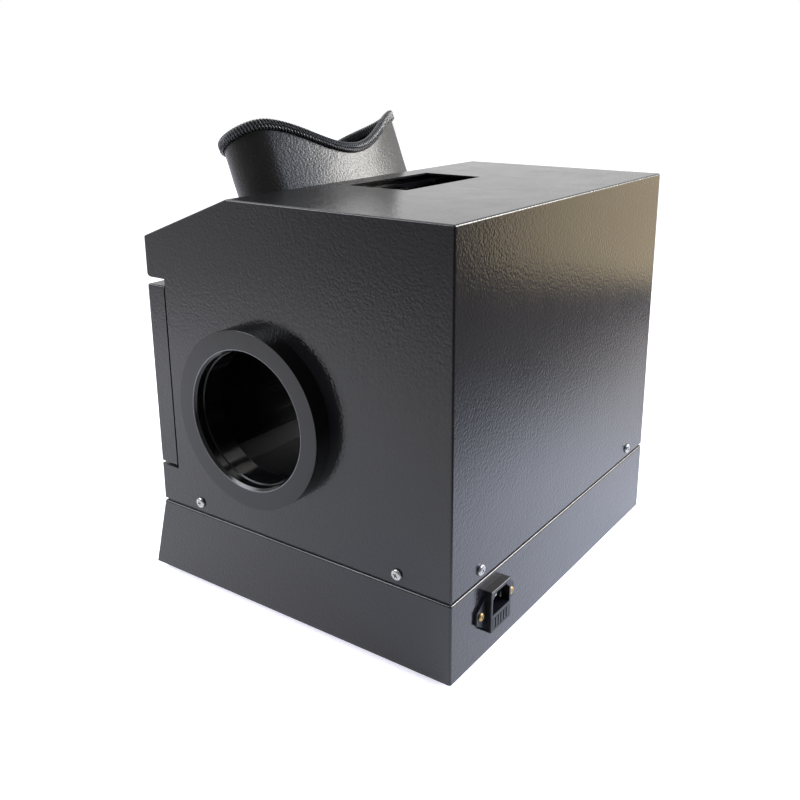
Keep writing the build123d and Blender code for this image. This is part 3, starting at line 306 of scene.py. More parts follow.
@dataclass(frozen=True)
class Finish:
    """An opaque finish with a grain, a slight variation of tone and of gloss."""

    name: str
    colour: Colour
    roughness: float
    grain: Grain
    grain_size: float
    grain_depth: float
    metallic: float = 0.0
    gloss: float = 0.5
    mottle: float = 0.12
    mottle_size: float = 40.0
    gloss_change: float = 0.06
    wear_and_highlight: Colour | None = None
    sheen: float = 0.0
    peel_cells: ClassVar[float] = 0.6
    pebble_cells: ClassVar[float] = 0.8
    pebble_fine: ClassVar[float] = 2.5
    scratch: ClassVar[Point] = (0.02, 1, 1)
    rubbed: ClassVar[Flat] = (0.62, 0.8)
    rub_share: ClassVar[float] = 0.35
    sheen_spread: ClassVar[float] = 0.4

    def height(self, paint: Paint) -> Signal:
        """The grain's height.

        Args:
            paint: The material being made.

        Returns:
            A height from 0 to 1.
        """
        if self.grain is Grain.ORANGE_PEEL:
            broad = paint.noise(self.grain_size, detail=1.0)
            bumps = 1 - paint.cells(self.grain_size)
            return broad * (1 - self.peel_cells) + bumps * self.peel_cells
        if self.grain is Grain.PEBBLE:
            creases = paint.cells(self.grain_size)
            fine = paint.noise(self.grain_size / self.pebble_fine)
            return (1 - creases) * self.pebble_cells + fine * (1 - self.pebble_cells)
        if self.grain is Grain.BRUSHED:
            return paint.noise(self.grain_size, detail=3.0, stretch=self.scratch)
        if self.grain is Grain.CAST:
            return paint.noise(self.grain_size, detail=1.0)
        return paint.noise(self.grain_size, detail=4.0)

    def material(self) -> bpy.types.Material:
        """Build the finish's material.

        Returns:
            The material.
        """
        paint, material = Paint.named(self.name)
        height = self.height(paint)
        drift = paint.noise(self.mottle_size, detail=3.0)
        tone = (drift - 0.5) * (2 * self.mottle) + (height - 0.5) * self.mottle
        darker = tuple(part * (1 - self.mottle) for part in self.colour)
        lighter = tuple(min(1.0, part * (1 + self.mottle)) for part in self.colour)
        colour = paint.blend((tone * (0.25 / self.mottle) + 0.5).between(0, 1), darker, lighter)
        if self.wear_and_highlight:
            rubs = paint.noise(self.mottle_size / 5, detail=6.0).between(*self.rubbed)
            colour = paint.blend(rubs * self.rub_share, colour, self.wear_and_highlight)
        smear = paint.noise(self.mottle_size / 2, detail=2.0, stretch=(1, 1, 0.5))
        roughness = smear * (2 * self.gloss_change) + (self.roughness - self.gloss_change)
        paint.set(
            Base_Color=colour,
            Roughness=roughness,
            Metallic=self.metallic,
            Specular_IOR_Level=self.gloss,
            Sheen_Weight=self.sheen,
            Sheen_Roughness=self.sheen_spread,
        )
        paint.relief(height, self.grain_depth)
        return material


@dataclass(frozen=True)
class Clear:
    """A see-through finish: a tinted pane, a filter glass or a tube."""

    name: str
    colour: Colour
    roughness: float
    clearness: float
    index: float = 1.49
    wipe: ClassVar[float] = 0.05
    marks_at: ClassVar[Flat] = (0.45, 0.75)
    tint_at: ClassVar[Flat] = (0.3, 0.7)
    tint_drop: ClassVar[float] = 0.12
    wave: ClassVar[float] = 0.02

    def material(self) -> bpy.types.Material:
        """Build the finish's material, with faint wipe marks in its gloss.

        Returns:
            The material.
        """
        paint, material = Paint.named(self.name)
        marks = paint.noise(14.0, detail=5.0, stretch=(0.3, 1, 1))
        tint = paint.noise(60.0, detail=2.0)
        deeper = tuple(part * (1 - self.tint_drop) for part in self.colour)
        paint.set(
            Base_Color=paint.blend(tint.between(*self.tint_at), self.colour, deeper),
            Roughness=marks.between(*self.marks_at) * self.wipe + self.roughness,
            IOR=self.index,
            Transmission_Weight=self.clearness,
        )
        paint.relief(paint.noise(45.0, detail=1.0), self.wave)
        return material


FINISHES: dict[str, Finish | Clear] = {finish.name: finish for finish in (
    Finish(
        "cabinet_paint", (0.0088, 0.0083, 0.0100), 0.18, Grain.ORANGE_PEEL, 1.8, 0.18, gloss=0.41,
        mottle=0.12, mottle_size=55, wear_and_highlight=(0.016, 0.016, 0.017),
    ),
    Finish("inner_paint", (0.055, 0.055, 0.062), 0.55, Grain.MATT, 0.8, 0.03, gloss=0.3),
    Finish(
        "zinc_plate", (0.52, 0.52, 0.50), 0.36, Grain.BRUSHED, 0.5, 0.008, metallic=1.0,
        mottle=0.14,
    ),
    Finish(
        "polished_screw", (0.36, 0.36, 0.35), 0.26, Grain.CAST, 1.2, 0.02, metallic=1.0,
        mottle=0.2, mottle_size=3,
    ),
    Finish(
        "collar_plastic", (0.004, 0.004, 0.0045), 0.17, Grain.CAST, 6.0, 0.012, mottle=0.15,
        mottle_size=18, gloss=0.33, gloss_change=0.1, wear_and_highlight=(0.009, 0.009, 0.009),
    ),
    # painted highlight: a brighter metallic finish for the thin band at the collar bore's front
    # inner edge, in place of the glint of that edge
    Finish(
        "collar_edge_highlight", (0.13, 0.13, 0.14), 0.34, Grain.CAST, 2.0, 0.01, metallic=1.0, mottle=0.3,
        mottle_size=9,
    ),
    Finish("knob_plastic", (0.014, 0.014, 0.014), 0.3, Grain.CAST, 4.0, 0.01, mottle_size=6),
    Finish("seal_foam", (0.014, 0.014, 0.014), 0.92, Grain.MATT, 0.5, 0.18, gloss=0.2),
    Finish(
        "magnet_nickel", (0.58, 0.57, 0.54), 0.24, Grain.CAST, 1.5, 0.01, metallic=1.0,
        mottle_size=2,
    ),
    Finish(
        "hood_leather", (0.005, 0.0047, 0.0045), 0.36, Grain.PEBBLE, 1.6, 0.28, mottle=0.14,
        mottle_size=20, gloss=0.34, wear_and_highlight=(0.010, 0.009, 0.008), sheen=0.01,
    ),
    Finish(
        "hood_braid", (0.060, 0.062, 0.070), 0.32, Grain.MATT, 0.5, 0.05, mottle=0.2,
        mottle_size=7, wear_and_highlight=(0.05, 0.05, 0.055),
    ),
    Finish("filter_bezel", (0.46, 0.46, 0.45), 0.3, Grain.BRUSHED, 0.4, 0.006, metallic=1.0),
    Finish("reflector_foil", (0.74, 0.74, 0.73), 0.22, Grain.BRUSHED, 0.7, 0.006, metallic=1.0),
    Finish(
        "tube_cap", (0.6, 0.6, 0.59), 0.34, Grain.BRUSHED, 0.4, 0.006, metallic=1.0, mottle_size=5,
    ),
    Finish("holder_plastic", (0.72, 0.71, 0.67), 0.42, Grain.MATT, 0.6, 0.02),
    Finish("ballast_case", (0.5, 0.5, 0.47), 0.45, Grain.ORANGE_PEEL, 1.5, 0.05, mottle=0.08),
    Finish("foot_rubber", (0.016, 0.016, 0.016), 0.78, Grain.MATT, 0.6, 0.05, gloss=0.3),
    Finish("switch_plastic", (0.014, 0.014, 0.015), 0.34, Grain.MATT, 0.4, 0.01, mottle_size=8),
    Finish("rocker_plastic", (0.018, 0.018, 0.019), 0.22, Grain.CAST, 3.0, 0.012, mottle_size=8),
    Finish(
        "inlet_plastic", (0.004, 0.004, 0.006), 0.34, Grain.MATT, 0.5, 0.015, mottle_size=10,
        gloss=0.22, wear_and_highlight=(0.012, 0.012, 0.014),
    ),
    Finish(
        "contact_metal", (0.6, 0.58, 0.52), 0.25, Grain.BRUSHED, 0.4, 0.005, metallic=1.0,
        mottle_size=3,
    ),
    Finish(
        "brass_screw", (0.34, 0.23, 0.09), 0.32, Grain.CAST, 1.0, 0.02, metallic=1.0, mottle=0.25,
        mottle_size=2,
    ),
    Finish("mark_white", (0.7, 0.7, 0.68), 0.45, Grain.MATT, 0.4, 0.01, mottle_size=3),
    Finish(
        "hood_lining", (0.004, 0.004, 0.004), 0.8, Grain.MATT, 0.9, 0.08, gloss=0.15,
        mottle_size=12,
    ),
    # painted shade: a near-black, dull finish for the faces deep in the grooves between the trim's
    # ribs
    Finish("braid_groove_shade", (0.003, 0.003, 0.004), 0.8, Grain.MATT, 0.5, 0.03, gloss=0.1),
    Clear("uv_blocking_pane", (0.72, 0.70, 0.66), 0.04, 0.9),
    Clear("filter_glass", (0.020, 0.012, 0.045), 0.05, 0.35, index=1.52),
    Clear("tube_glass", (0.86, 0.88, 0.94), 0.28, 0.35, index=1.5),
    Clear("fuse_glass", (0.85, 0.88, 0.87), 0.05, 0.8, index=1.5),
)}


class Palette:
    """The materials in use, each made once."""

    made: ClassVar[dict[str, bpy.types.Material]] = {}

    @classmethod
    def get(cls, slot: str) -> bpy.types.Material:
        """The material of a slot.

        Args:
            slot: The finish's name.

        Returns:
            Its material.
        """
        if slot not in cls.made:
            cls.made[slot] = FINISHES[slot].material()
        return cls.made[slot]


# ---- bench work on meshes
class Bench:
    """Modelling steps done with Blender's own operators."""

    @staticmethod
    def clear() -> None:
        """Deselect everything."""
        bpy.ops.object.select_all(action="DESELECT")

    @staticmethod
    def pick(piece: bpy.types.Object) -> None:
        """Select one object and make it active.

        Args:
            piece: The object.
        """
        Bench.clear()
        piece.select_set(True)
        bpy.context.view_layer.objects.active = piece

    @staticmethod
    def profile(name: str, points: Sequence[Point]) -> bpy.types.Object:
        """Draw an open or closed line, one extruded point after the other.

        Args:
            name: The object's name.
            points: The line's points, in metres.

        Returns:
            The object, in edit mode, with the whole line selected.
        """
        Bench.clear()
        bpy.ops.mesh.primitive_plane_add(size=MM, location=points[0])
        line = bpy.context.active_object
        line.name = name
        bpy.ops.object.transform_apply(location=True, rotation=False, scale=False)
        bpy.ops.object.mode_set(mode="EDIT")
        bpy.ops.mesh.merge(type="CENTER")
        for start, end in zip(points, points[1:]):
            step = tuple(b - a for a, b in zip(start, end))
            bpy.ops.mesh.extrude_region_move(TRANSFORM_OT_translate={"value": step})
        bpy.ops.mesh.select_all(action="SELECT")
        return line

    @staticmethod
    def close(piece: bpy.types.Object) -> None:
        """Merge doubles, turn all faces outwards and leave edit mode.

        Args:
            piece: The object.
        """
        if piece.mode != "EDIT":
            Bench.pick(piece)
            bpy.ops.object.mode_set(mode="EDIT")
        bpy.ops.mesh.select_all(action="SELECT")
        bpy.ops.mesh.remove_doubles(threshold=DOUBLES_GAP)
        bpy.ops.mesh.normals_make_consistent(inside=False)
        bpy.ops.object.mode_set(mode="OBJECT")

    @staticmethod
    def modify(piece: bpy.types.Object, kind: str, **settings: object) -> None:
        """Add a modifier and apply it.

        Args:
            piece: The object.
            kind: The modifier's type.
            settings: The modifier's settings.
        """
        Bench.pick(piece)
        modifier = piece.modifiers.new(kind.title(), kind)
        for name, value in settings.items():
            setattr(modifier, name, value)
        bpy.ops.object.modifier_apply(modifier=modifier.name)

    @staticmethod
    def smooth(piece: bpy.types.Object, angle: float = 32.0, flat_faces: bool = True) -> None:
        """Shade faces smooth where they meet at less than an angle.

        Args:
            piece: The object.
            angle: The angle, in degrees.
            flat_faces: Keep broad faces flat up to their rounded edges.
        """
        Bench.pick(piece)
        bpy.ops.object.shade_smooth_by_angle(angle=radians(angle))
        if flat_faces:
            Bench.modify(piece, "WEIGHTED_NORMAL", keep_sharp=True, weight=FACE_WEIGHT)

    @staticmethod
    def lathe(
        name: str, outline: Sequence[Flat], steps: int, bevel: float = 0.0
    ) -> bpy.types.Object:
        """Turn a piece about +Z.

        Args:
            name: The object's name.
            outline: (radius, height) points in millimetres, around a ring or from pole to pole.
            steps: Faces round the piece.
            bevel: Rounding of its sharp edges, in millimetres.

        Returns:
            The turned piece.
        """
        points = [(radius * MM, 0.0, height * MM) for radius, height in outline]
        piece = Bench.profile(name, points)
        bpy.ops.mesh.spin(steps=steps, angle=2 * pi, center=(0, 0, 0), axis=(0, 0, 1))
        Bench.close(piece)
        if bevel:
            Bench.modify(
                piece, "BEVEL", width=bevel * MM, segments=3, limit_method="ANGLE",
                angle_limit=LATHE_EDGE,
            )
        return piece

    @staticmethod
    def settle(piece: bpy.types.Object, where: Matrix) -> None:
        """Put a piece in its place, with the place in its mesh.

        Args:
            piece: The object, modelled at the origin.
            where: Its turn and place.
        """
        piece.matrix_world = where
        Bench.pick(piece)
        bpy.ops.object.transform_apply(location=True, rotation=True, scale=True)

    @staticmethod
    def copies(piece: bpy.types.Object, name: str, places: Iterable[Matrix]) -> bpy.types.Object:
        """Copy a piece to each place, each with its own mesh, and join the copies.

        Args:
            piece: The pattern piece, removed at the end.
            name: The joined object's name.
            places: The copies' turns and places.

        Returns:
            The joined object.
        """
        made = []
        for place in places:
            copy = piece.copy()
            copy.data = piece.data.copy()
            bpy.context.scene.collection.objects.link(copy)
            Bench.settle(copy, place)
            made.append(copy)
        Bench.clear()
        for copy in made:
            copy.select_set(True)
        bpy.context.view_layer.objects.active = made[0]
        if len(made) > 1:
            bpy.ops.object.join()
        joined = bpy.context.view_layer.objects.active
        joined.name = name
        bpy.data.objects.remove(piece)
        return joined

    @staticmethod
    def softened(node: str, name: str, width: float) -> bpy.types.Object:
        """A copy of a solid with its sharp edges rounded.

        Args:
            node: The CAD node.
            name: The new piece's name.
            width: The rounding, in millimetres.

        Returns:
            The rounded copy.
        """
        source = frame["nodes"][node]
        mesh = source.data.copy()
        mesh.materials.clear()
        piece = bpy.data.objects.new(name, mesh)
        bpy.context.scene.collection.objects.link(piece)
        Bench.pick(piece)
        if mesh.has_custom_normals:
            bpy.ops.mesh.customdata_custom_splitnormals_clear()
        bpy.ops.object.mode_set(mode="EDIT")
        bpy.ops.mesh.select_all(action="SELECT")
        bpy.ops.mesh.remove_doubles(threshold=CAD_DOUBLES_GAP)
        bpy.ops.mesh.dissolve_limited(angle_limit=FLAT_ANGLE)
        Bench.close(piece)
        Bench.modify(
            piece, "BEVEL", width=width * MM, segments=2, limit_method="ANGLE",
            angle_limit=MOULDED_EDGE,
        )
        Bench.smooth(piece)
        return piece


def dress(piece: bpy.types.Object, slot: str, body: str, *nodes: str) -> None:
    """Finish a new piece and hang it on its body.

    Args:
        piece: The new piece.
        slot: The material slot that it takes its finish from.
        body: The body that it rides on.
        nodes: The CAD nodes that it stands for.
    """
    if not piece.data.materials:
        piece.data.materials.append(Palette.get(slot))
    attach(piece, body)
    if nodes:
        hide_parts(*nodes)
    LOG.info("%s: %d faces, rides on %s", piece.name, len(piece.data.polygons), body)


def middle(node: str) -> Vector:
    """The middle of a CAD node's box."""
    low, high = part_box(node)
    return (low + high) / 2


def outward(origin: Vector, normal: Point, up: Point) -> Matrix:
    """A place whose local z points outwards.

    Args:
        origin: Where the place is.
        normal: The direction of its local z.
        up: The direction of its local y.

    Returns:
        The place as a matrix.
    """
    z_axis = Vector(normal).normalized()
    x_axis = Vector(up).cross(z_axis).normalized()
    y_axis = z_axis.cross(x_axis)
    turn = Matrix((x_axis, y_axis, z_axis)).transposed().to_4x4()
    return Matrix.Translation(origin) @ turn


# ---- viewing hood
@dataclass
class ViewingHood:
    """Leatherette tube with a waved rim and its ribbed edge trim, sizes in millimetres."""

    half_width: float = 93.0
    half_depth: float = 37.0
    side_radius: float = 26.0
    wall: float = 2.5
    peak: float = 55.5
    rear_dip: float = 28.5
    front_dip: float = 33.0
    rim_tilt: float = 0.12
    foot_grow: float = 4.5
    foot_low: float = 4.0
    sheet: float = 1.5
    slant_run: float = 85.3
    slant_drop: float = 32.6
    shift: float = 3.0
    trim_out: float = 3.0
    trim_in: float = 1.9
    trim_cap: float = 2.0
    trim_drop: float = 6.5
    rib_pitch: float = 2.4
    rib_depth: float = 1.3
    rib_lean: float = 0.35
    columns_to_a_rib: int = 6
    tube_column: float = 2.2
    tube_rows: int = 14
    swell: float = 0.35
    swell_pitch: float = 17.0
    crown_steps: int = 10
    crown_foot: float = 1.2
    lip: float = 0.7
    # painted shade starts where a trim face lies this deep in a groove
    groove_shade_from: float = 0.72
    flank: float = 3.0
    thick: float = 2.0
    crown_from: float = 0.5
    edge: float = 0.5
    edge_angle: float = 50.0

    def __post_init__(self) -> None:
        """Work out where the oval's arcs meet."""
        self.centre_x = self.half_width - self.side_radius
        reach = self.half_depth - self.side_radius
        self.centre_y = (
            self.centre_x**2 + self.half_depth**2 - self.side_radius**2
        ) / (2 * reach) - self.half_depth
        self.corner = atan2(self.centre_x, self.centre_y)

    def arcs(self) -> list[tuple[Flat, float, float]]:
        """The oval's four arcs.

        Returns:
            Each arc's centre, radius and angle, counter-clockwise from the front right corner.
        """
        end_turn = pi - 2 * self.corner
        long_radius = self.half_depth + self.centre_y
        return [
            ((self.centre_x, 0.0), self.side_radius, end_turn),
            ((0.0, -self.centre_y), long_radius, 2 * self.corner),
            ((-self.centre_x, 0.0), self.side_radius, end_turn),
            ((0.0, self.centre_y), long_radius, 2 * self.corner),
        ]

    def start(self, grow: float, height: float) -> Point:
        """The oval's point at the front right corner of its arcs.

        Args:
            grow: How far outside the hood's outer face.
            height: Height along the hood's axis.

        Returns:
            The point, in metres.
        """
        radius = self.side_radius + grow
        x = self.centre_x + radius * sin(self.corner)
        y = -radius * cos(self.corner)
        return x * MM, y * MM, height * MM

    def rim(self, x: float, y: float) -> float:
        """Height of the waved rim.

        Args:
            x: Place across the hood, in metres.
            y: Place along the slant, in metres.

        Returns:
            The height above the slanted face, in metres.
        """
        across = min(1.0, abs(x) / (self.half_width * MM))
        tilt = self.rim_tilt * self.half_depth
        dip = self.front_dip + tilt if y < 0 else self.rear_dip - tilt
        wave = (1 - cos(pi * across)) / 2
        return (dip + (self.peak - dip) * wave) * MM + self.rim_tilt * y

    def swept(self, name: str, outline: Sequence[Flat], column: float) -> bpy.types.Object:
        """Carry a closed outline round the oval.

        Args:
            name: The object's name.
            outline: (outwards, height) points in millimetres.
            column: Width of a face along the oval, in millimetres.

        Returns:
            The swept ring.
        """
        points = [self.start(grow, height) for grow, height in outline]
        ring = Bench.profile(name, [*points, points[0]])
        bpy.ops.mesh.remove_doubles(threshold=DOUBLES_GAP)
        for (x, y), radius, turn in self.arcs():
            steps = max(8, round(radius * turn / column))
            bpy.ops.mesh.spin(
                steps=steps, angle=-turn, center=(x * MM, y * MM, 0), axis=(0, 0, 1),
            )
        Bench.close(ring)
        return ring

    def place(self) -> Matrix:
        """The hood's place on the slanted face.

        Returns:
            The place, its z along the hood's axis.
        """
        low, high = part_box("cabinet_wrap")
        slope = atan2(self.slant_drop, self.slant_run)
        up_slope = Vector((0, cos(slope), sin(slope)))
        normal = Vector((0, -sin(slope), cos(slope)))
        face = Vector((0, low.y + self.slant_run / 2 * MM, high.z - self.slant_drop / 2 * MM))
        return outward(face + up_slope * self.shift * MM, normal, up_slope)

    def tube(self) -> bpy.types.Object:
        """The hood's wall and foot, as one closed shell.

        Returns:
            The tube.
        """
        foot = -self.foot_low
        rows = self.tube_rows
        outer = [(0.0, self.peak * row / rows) for row in range(rows + 1)]
        inner = [(-self.wall, height) for _, height in reversed(outer)]
        outline = [
            (-self.wall, foot), (self.foot_grow, foot), (self.foot_grow, -self.sheet),
            (0.0, -self.sheet), *outer, *inner,
        ]
        ring = self.swept("hood_leather_tube", outline, self.tube_column)
        for slot in ("hood_leather", "hood_lining"):
            ring.data.materials.append(Palette.get(slot))
        for face in ring.data.polygons:
            x, y, _ = face.center / MM
            face.material_index = int(self.outside(x, y) < -self.wall / 2)
        for vertex in ring.data.vertices:
            x, y, height = vertex.co
            if height > 0:
                share = height / (self.peak * MM)
                wave = sin(pi * share) * sin(x / MM / self.swell_pitch + 3 * share)
                outwards = Vector((x / self.half_width, y / self.half_depth, 0)).normalized()
                vertex.co -= outwards * abs(self.swell * MM * wave)
                vertex.co.z = share * self.rim(x, y)
        return ring

    def trim_outline(self) -> list[Flat]:
        """The edge trim's cross-section: a U with a round top and rolled lips.

        Returns:
            (outwards, height above the rim) points.
        """
        outside, inside = self.trim_out, -self.wall - self.trim_in
        centre, half = (outside + inside) / 2, (outside - inside) / 2
        rise = self.trim_cap + self.crown_foot
        crown = []
        for step in range(self.crown_steps + 1):
            angle = pi * step / self.crown_steps
            crown.append((centre + half * cos(angle), -self.crown_foot + rise * sin(angle)))
        foot, lip, wall = -self.trim_drop, self.lip, -self.wall
        return [
            (0.15, foot + lip), (0.6, foot), (outside - lip, foot), (outside - 0.1, foot + lip),
            (outside, -self.flank), *crown, (inside, -self.flank),
            (inside + 0.1, foot + lip), (inside + lip, foot),
            (wall - 0.3, foot), (wall - 0.15, foot + lip), (wall - 0.1, 0.1), (0.1, 0.1),
        ]

    def trim(self) -> bpy.types.Object:
        """The ribbed edge trim that follows the rim.

        Returns:
            The trim.
        """
        column = self.rib_pitch / self.columns_to_a_rib
        ring = self.swept("hood_trim", self.trim_outline(), column)
        core = -self.wall / 2
        # painted shade: faces deep in the grooves between the ribs take a near-black finish
        for slot in ("hood_braid", "braid_groove_shade"):
            ring.data.materials.append(Palette.get(slot))
        for face in ring.data.polygons:
            face.material_index = int(self.groove(face.center) > self.groove_shade_from)
        for vertex in ring.data.vertices:
            x, y, height = vertex.co
            off = self.outside(x / MM, y / MM) - core
            (cx, cy), _, _ = self.arc_of(x / MM, y / MM)
            depth = self.rib_depth * MM * self.groove(vertex.co) ** 2
            if abs(off) > self.thick or height > self.crown_from * MM:
                side = off / max(abs(off), 1e-6)
                share = min(1.0, abs(off) / self.flank)
                outwards = Vector((x / MM - cx, y / MM - cy, 0)).normalized()
                vertex.co -= outwards * side * depth * share
                vertex.co.z -= depth * (1 - share) if height > 0 else 0
            vertex.co.z += self.rim(x, y)
        return ring

    def groove(self, spot: Vector) -> float:
        """How deep in a groove between two ribs a point of the trim lies.

        Args:
            spot: The point, before the trim follows the rim.

        Returns:
            0 on a rib's crown, 1 at a groove's bottom.
        """
        x, y, height = spot / MM
        side = 1 if self.outside(x, y) > -self.wall / 2 else -1
        along = self.along(x, y) + height * self.rib_lean * side
        return 0.5 - 0.5 * cos(2 * pi * along / self.rib_pitch)

    def arc_of(self, x: float, y: float) -> tuple[Flat, float, int]:
        """The arc that a point of the oval lies on.

        Args:
            x: Place across the hood, in millimetres.
            y: Place along the slant, in millimetres.

        Returns:
            The arc's centre, its radius and its number.
        """
        from_end = atan2(abs(x) - self.centre_x, abs(y))
        at_end = abs(x) > self.centre_x and from_end > self.corner
        index = (0 if x > 0 else 2) if at_end else (1 if y > 0 else 3)
        centre, radius, _ = self.arcs()[index]
        return centre, radius, index

    def outside(self, x: float, y: float) -> float:
        """Distance of a point from the hood's outer face, positive outwards."""
        (cx, cy), radius, _ = self.arc_of(x, y)
        return hypot(x - cx, y - cy) - radius

    def along(self, x: float, y: float) -> float:
        """Distance along the hood's outline to a point.

        Args:
            x: Place across the hood, in millimetres.
            y: Place along the slant, in millimetres.

        Returns:
            The distance, in millimetres.
        """
        (cx, cy), radius, index = self.arc_of(x, y)
        quarter, corner = pi / 2, self.corner
        starts = [corner - quarter, quarter - corner, quarter + corner, 3 * quarter - corner]
        turn = (atan2(y - cy, x - cx) - starts[index]) % (2 * pi)
        if turn > 3.5 * quarter:  # rounding has put the point just before its arc
            turn = 0.0
        before = sum(r * t for _, r, t in self.arcs()[:index])
        return before + radius * turn

    def build(self) -> None:
        """Make the tube and the trim and set them on the cabinet."""
        tube = self.tube()
        Bench.modify(
            tube, "BEVEL", width=self.edge * MM, segments=2, limit_method="ANGLE",
            angle_limit=radians(self.edge_angle),
        )
        Bench.settle(tube, self.place())
        Bench.smooth(tube, angle=40, flat_faces=False)
        dress(tube, "hood_leather", "cabinet", "viewing_hood")
        trim = self.trim()
        Bench.settle(trim, self.place())
        Bench.smooth(trim, angle=60, flat_faces=False)
        dress(trim, "hood_braid", "cabinet", "hood_edge_trim")


# ---- hand ports
@dataclass
class HandPort:
    """Turned collar in a side wall and its ring nut, sizes in millimetres."""

    side: str
    face_radius: float = 64.2
    bore_radius: float = 48.5
    stand: float = 14.0
    chamfer: float = 2.0
    step_depth: float = 8.0
    step: float = 0.8
    spigot_radius: float = 54.0
    sheet: float = 1.5
    spigot_length: float = 10.0
    edge: float = 0.9
    faces: int = 200

    def build(self) -> None:
        """Turn the collar and set it in its wall."""
        inner = -self.sheet - self.spigot_length
        step_at = self.stand - self.step_depth
        outline = [
            (self.spigot_radius, inner), (self.spigot_radius, 0.0), (self.face_radius, 0.0),
            (self.face_radius, self.stand), (self.bore_radius + self.chamfer, self.stand),
            (self.bore_radius, self.stand - self.chamfer), (self.bore_radius, step_at),
            (self.bore_radius - self.step, step_at), (self.bore_radius - self.step, inner),
            (self.spigot_radius, inner),
        ]
        collar = Bench.lathe(f"turned_collar_{self.side}", outline, self.faces, bevel=self.edge / 2)
        node = f"hand_port_collar_{self.side}"
        centre = middle(node)
        sign = 1 if self.side == "right" else -1
        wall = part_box(f"cabinet_side_{self.side}")
        centre.x = wall[1].x if sign > 0 else wall[0].x
        collar.data.materials.append(Palette.get("collar_plastic"))
        # painted highlight: the faces of the thin band round the bore's front inner edge take the
        # brighter metallic edge finish instead of the black plastic
        collar.data.materials.append(Palette.get("collar_edge_highlight"))
        for face in collar.data.polygons:
            radius = hypot(face.center.x, face.center.y) / MM
            wear_and_highlight = abs(radius - self.bore_radius - self.chamfer) < self.edge / 2
            face.material_index = int(wear_and_highlight and face.center.z > (self.stand - self.edge / 2) * MM)
        Bench.settle(collar, outward(centre, (sign, 0, 0), (0, 0, 1)))
        Bench.smooth(collar, angle=25)
        dress(collar, "collar_plastic", "cabinet", node)


# ---- screws
@dataclass
class CrossScrew:
    """Pan-head screw with a cross recess, modelled once, sizes in millimetres."""

    head_radius: float
    head_height: float
    shank_radius: float
    shank_length: float
    cross_width: float = 0.95
    cross_depth: float = 1.15
    cross_span: float = 1.15
    cross_taper: float = 0.55
    flat_share: float = 0.42
    rim_share: float = 0.38
    dome_steps: int = 7
    faces: int = 40

    def pattern(self) -> bpy.types.Object:
        """Model one screw, its head above z = 0.

        Returns:
            The screw.
        """
        rim = self.rim_share * self.head_height
        dome = []
        for step in range(self.dome_steps + 1):
            angle = pi / 2 * step / self.dome_steps
            share = self.flat_share + (1 - self.flat_share) * cos(angle)
            radius = self.head_radius * share
            dome.append((radius, rim + (self.head_height - rim) * sin(angle)))
        outline = [
            (0.0, -self.shank_length), (self.shank_radius - 0.4, -self.shank_length),
            (self.shank_radius, -self.shank_length + 0.5), (self.shank_radius, 0.0),
            (self.head_radius - 0.15, 0.0), (self.head_radius, 0.15),
            *dome, (0.0, self.head_height),
        ]
        screw = Bench.lathe("screw_pattern", outline, self.faces)
        for turn in (0.0, pi / 2):
            self.cut_slot(screw, turn)
        return screw

    def cut_slot(self, screw: bpy.types.Object, turn: float) -> None:
        """Cut one tapered slot of the cross.

        Args:
            screw: The screw.
            turn: The slot's direction, in radians.
        """
        Bench.clear()
        length = self.cross_span * self.head_radius
        bpy.ops.mesh.primitive_cube_add(size=1)
        cutter = bpy.context.active_object
        cutter.scale = (length * MM, self.cross_width * MM, 2 * self.cross_depth * MM)
        cutter.location = (0, 0, self.head_height * MM)
        cutter.rotation_euler = (0, 0, turn)
        bpy.ops.object.transform_apply(location=True, rotation=True, scale=True)
        for vertex in cutter.data.vertices:
            if vertex.co.z < self.head_height * MM:
                vertex.co.x *= self.cross_taper
                vertex.co.y *= self.cross_taper
        Bench.modify(screw, "BOOLEAN", operation="DIFFERENCE", object=cutter, solver="EXACT")
        bpy.data.objects.remove(cutter)

    def place_all(self, name: str, places: Iterable[Matrix], slot: str, node: str) -> None:
        """Copy the screw to its places and finish the set.

        Args:
            name: The set's name.
            places: Outward places under the heads.
            slot: The finish.
            node: The CAD node that the set stands for.
        """
        pattern = self.pattern()
        Bench.smooth(pattern, angle=35)
        screws = Bench.copies(pattern, name, places)
        dress(screws, slot, "cabinet", node)


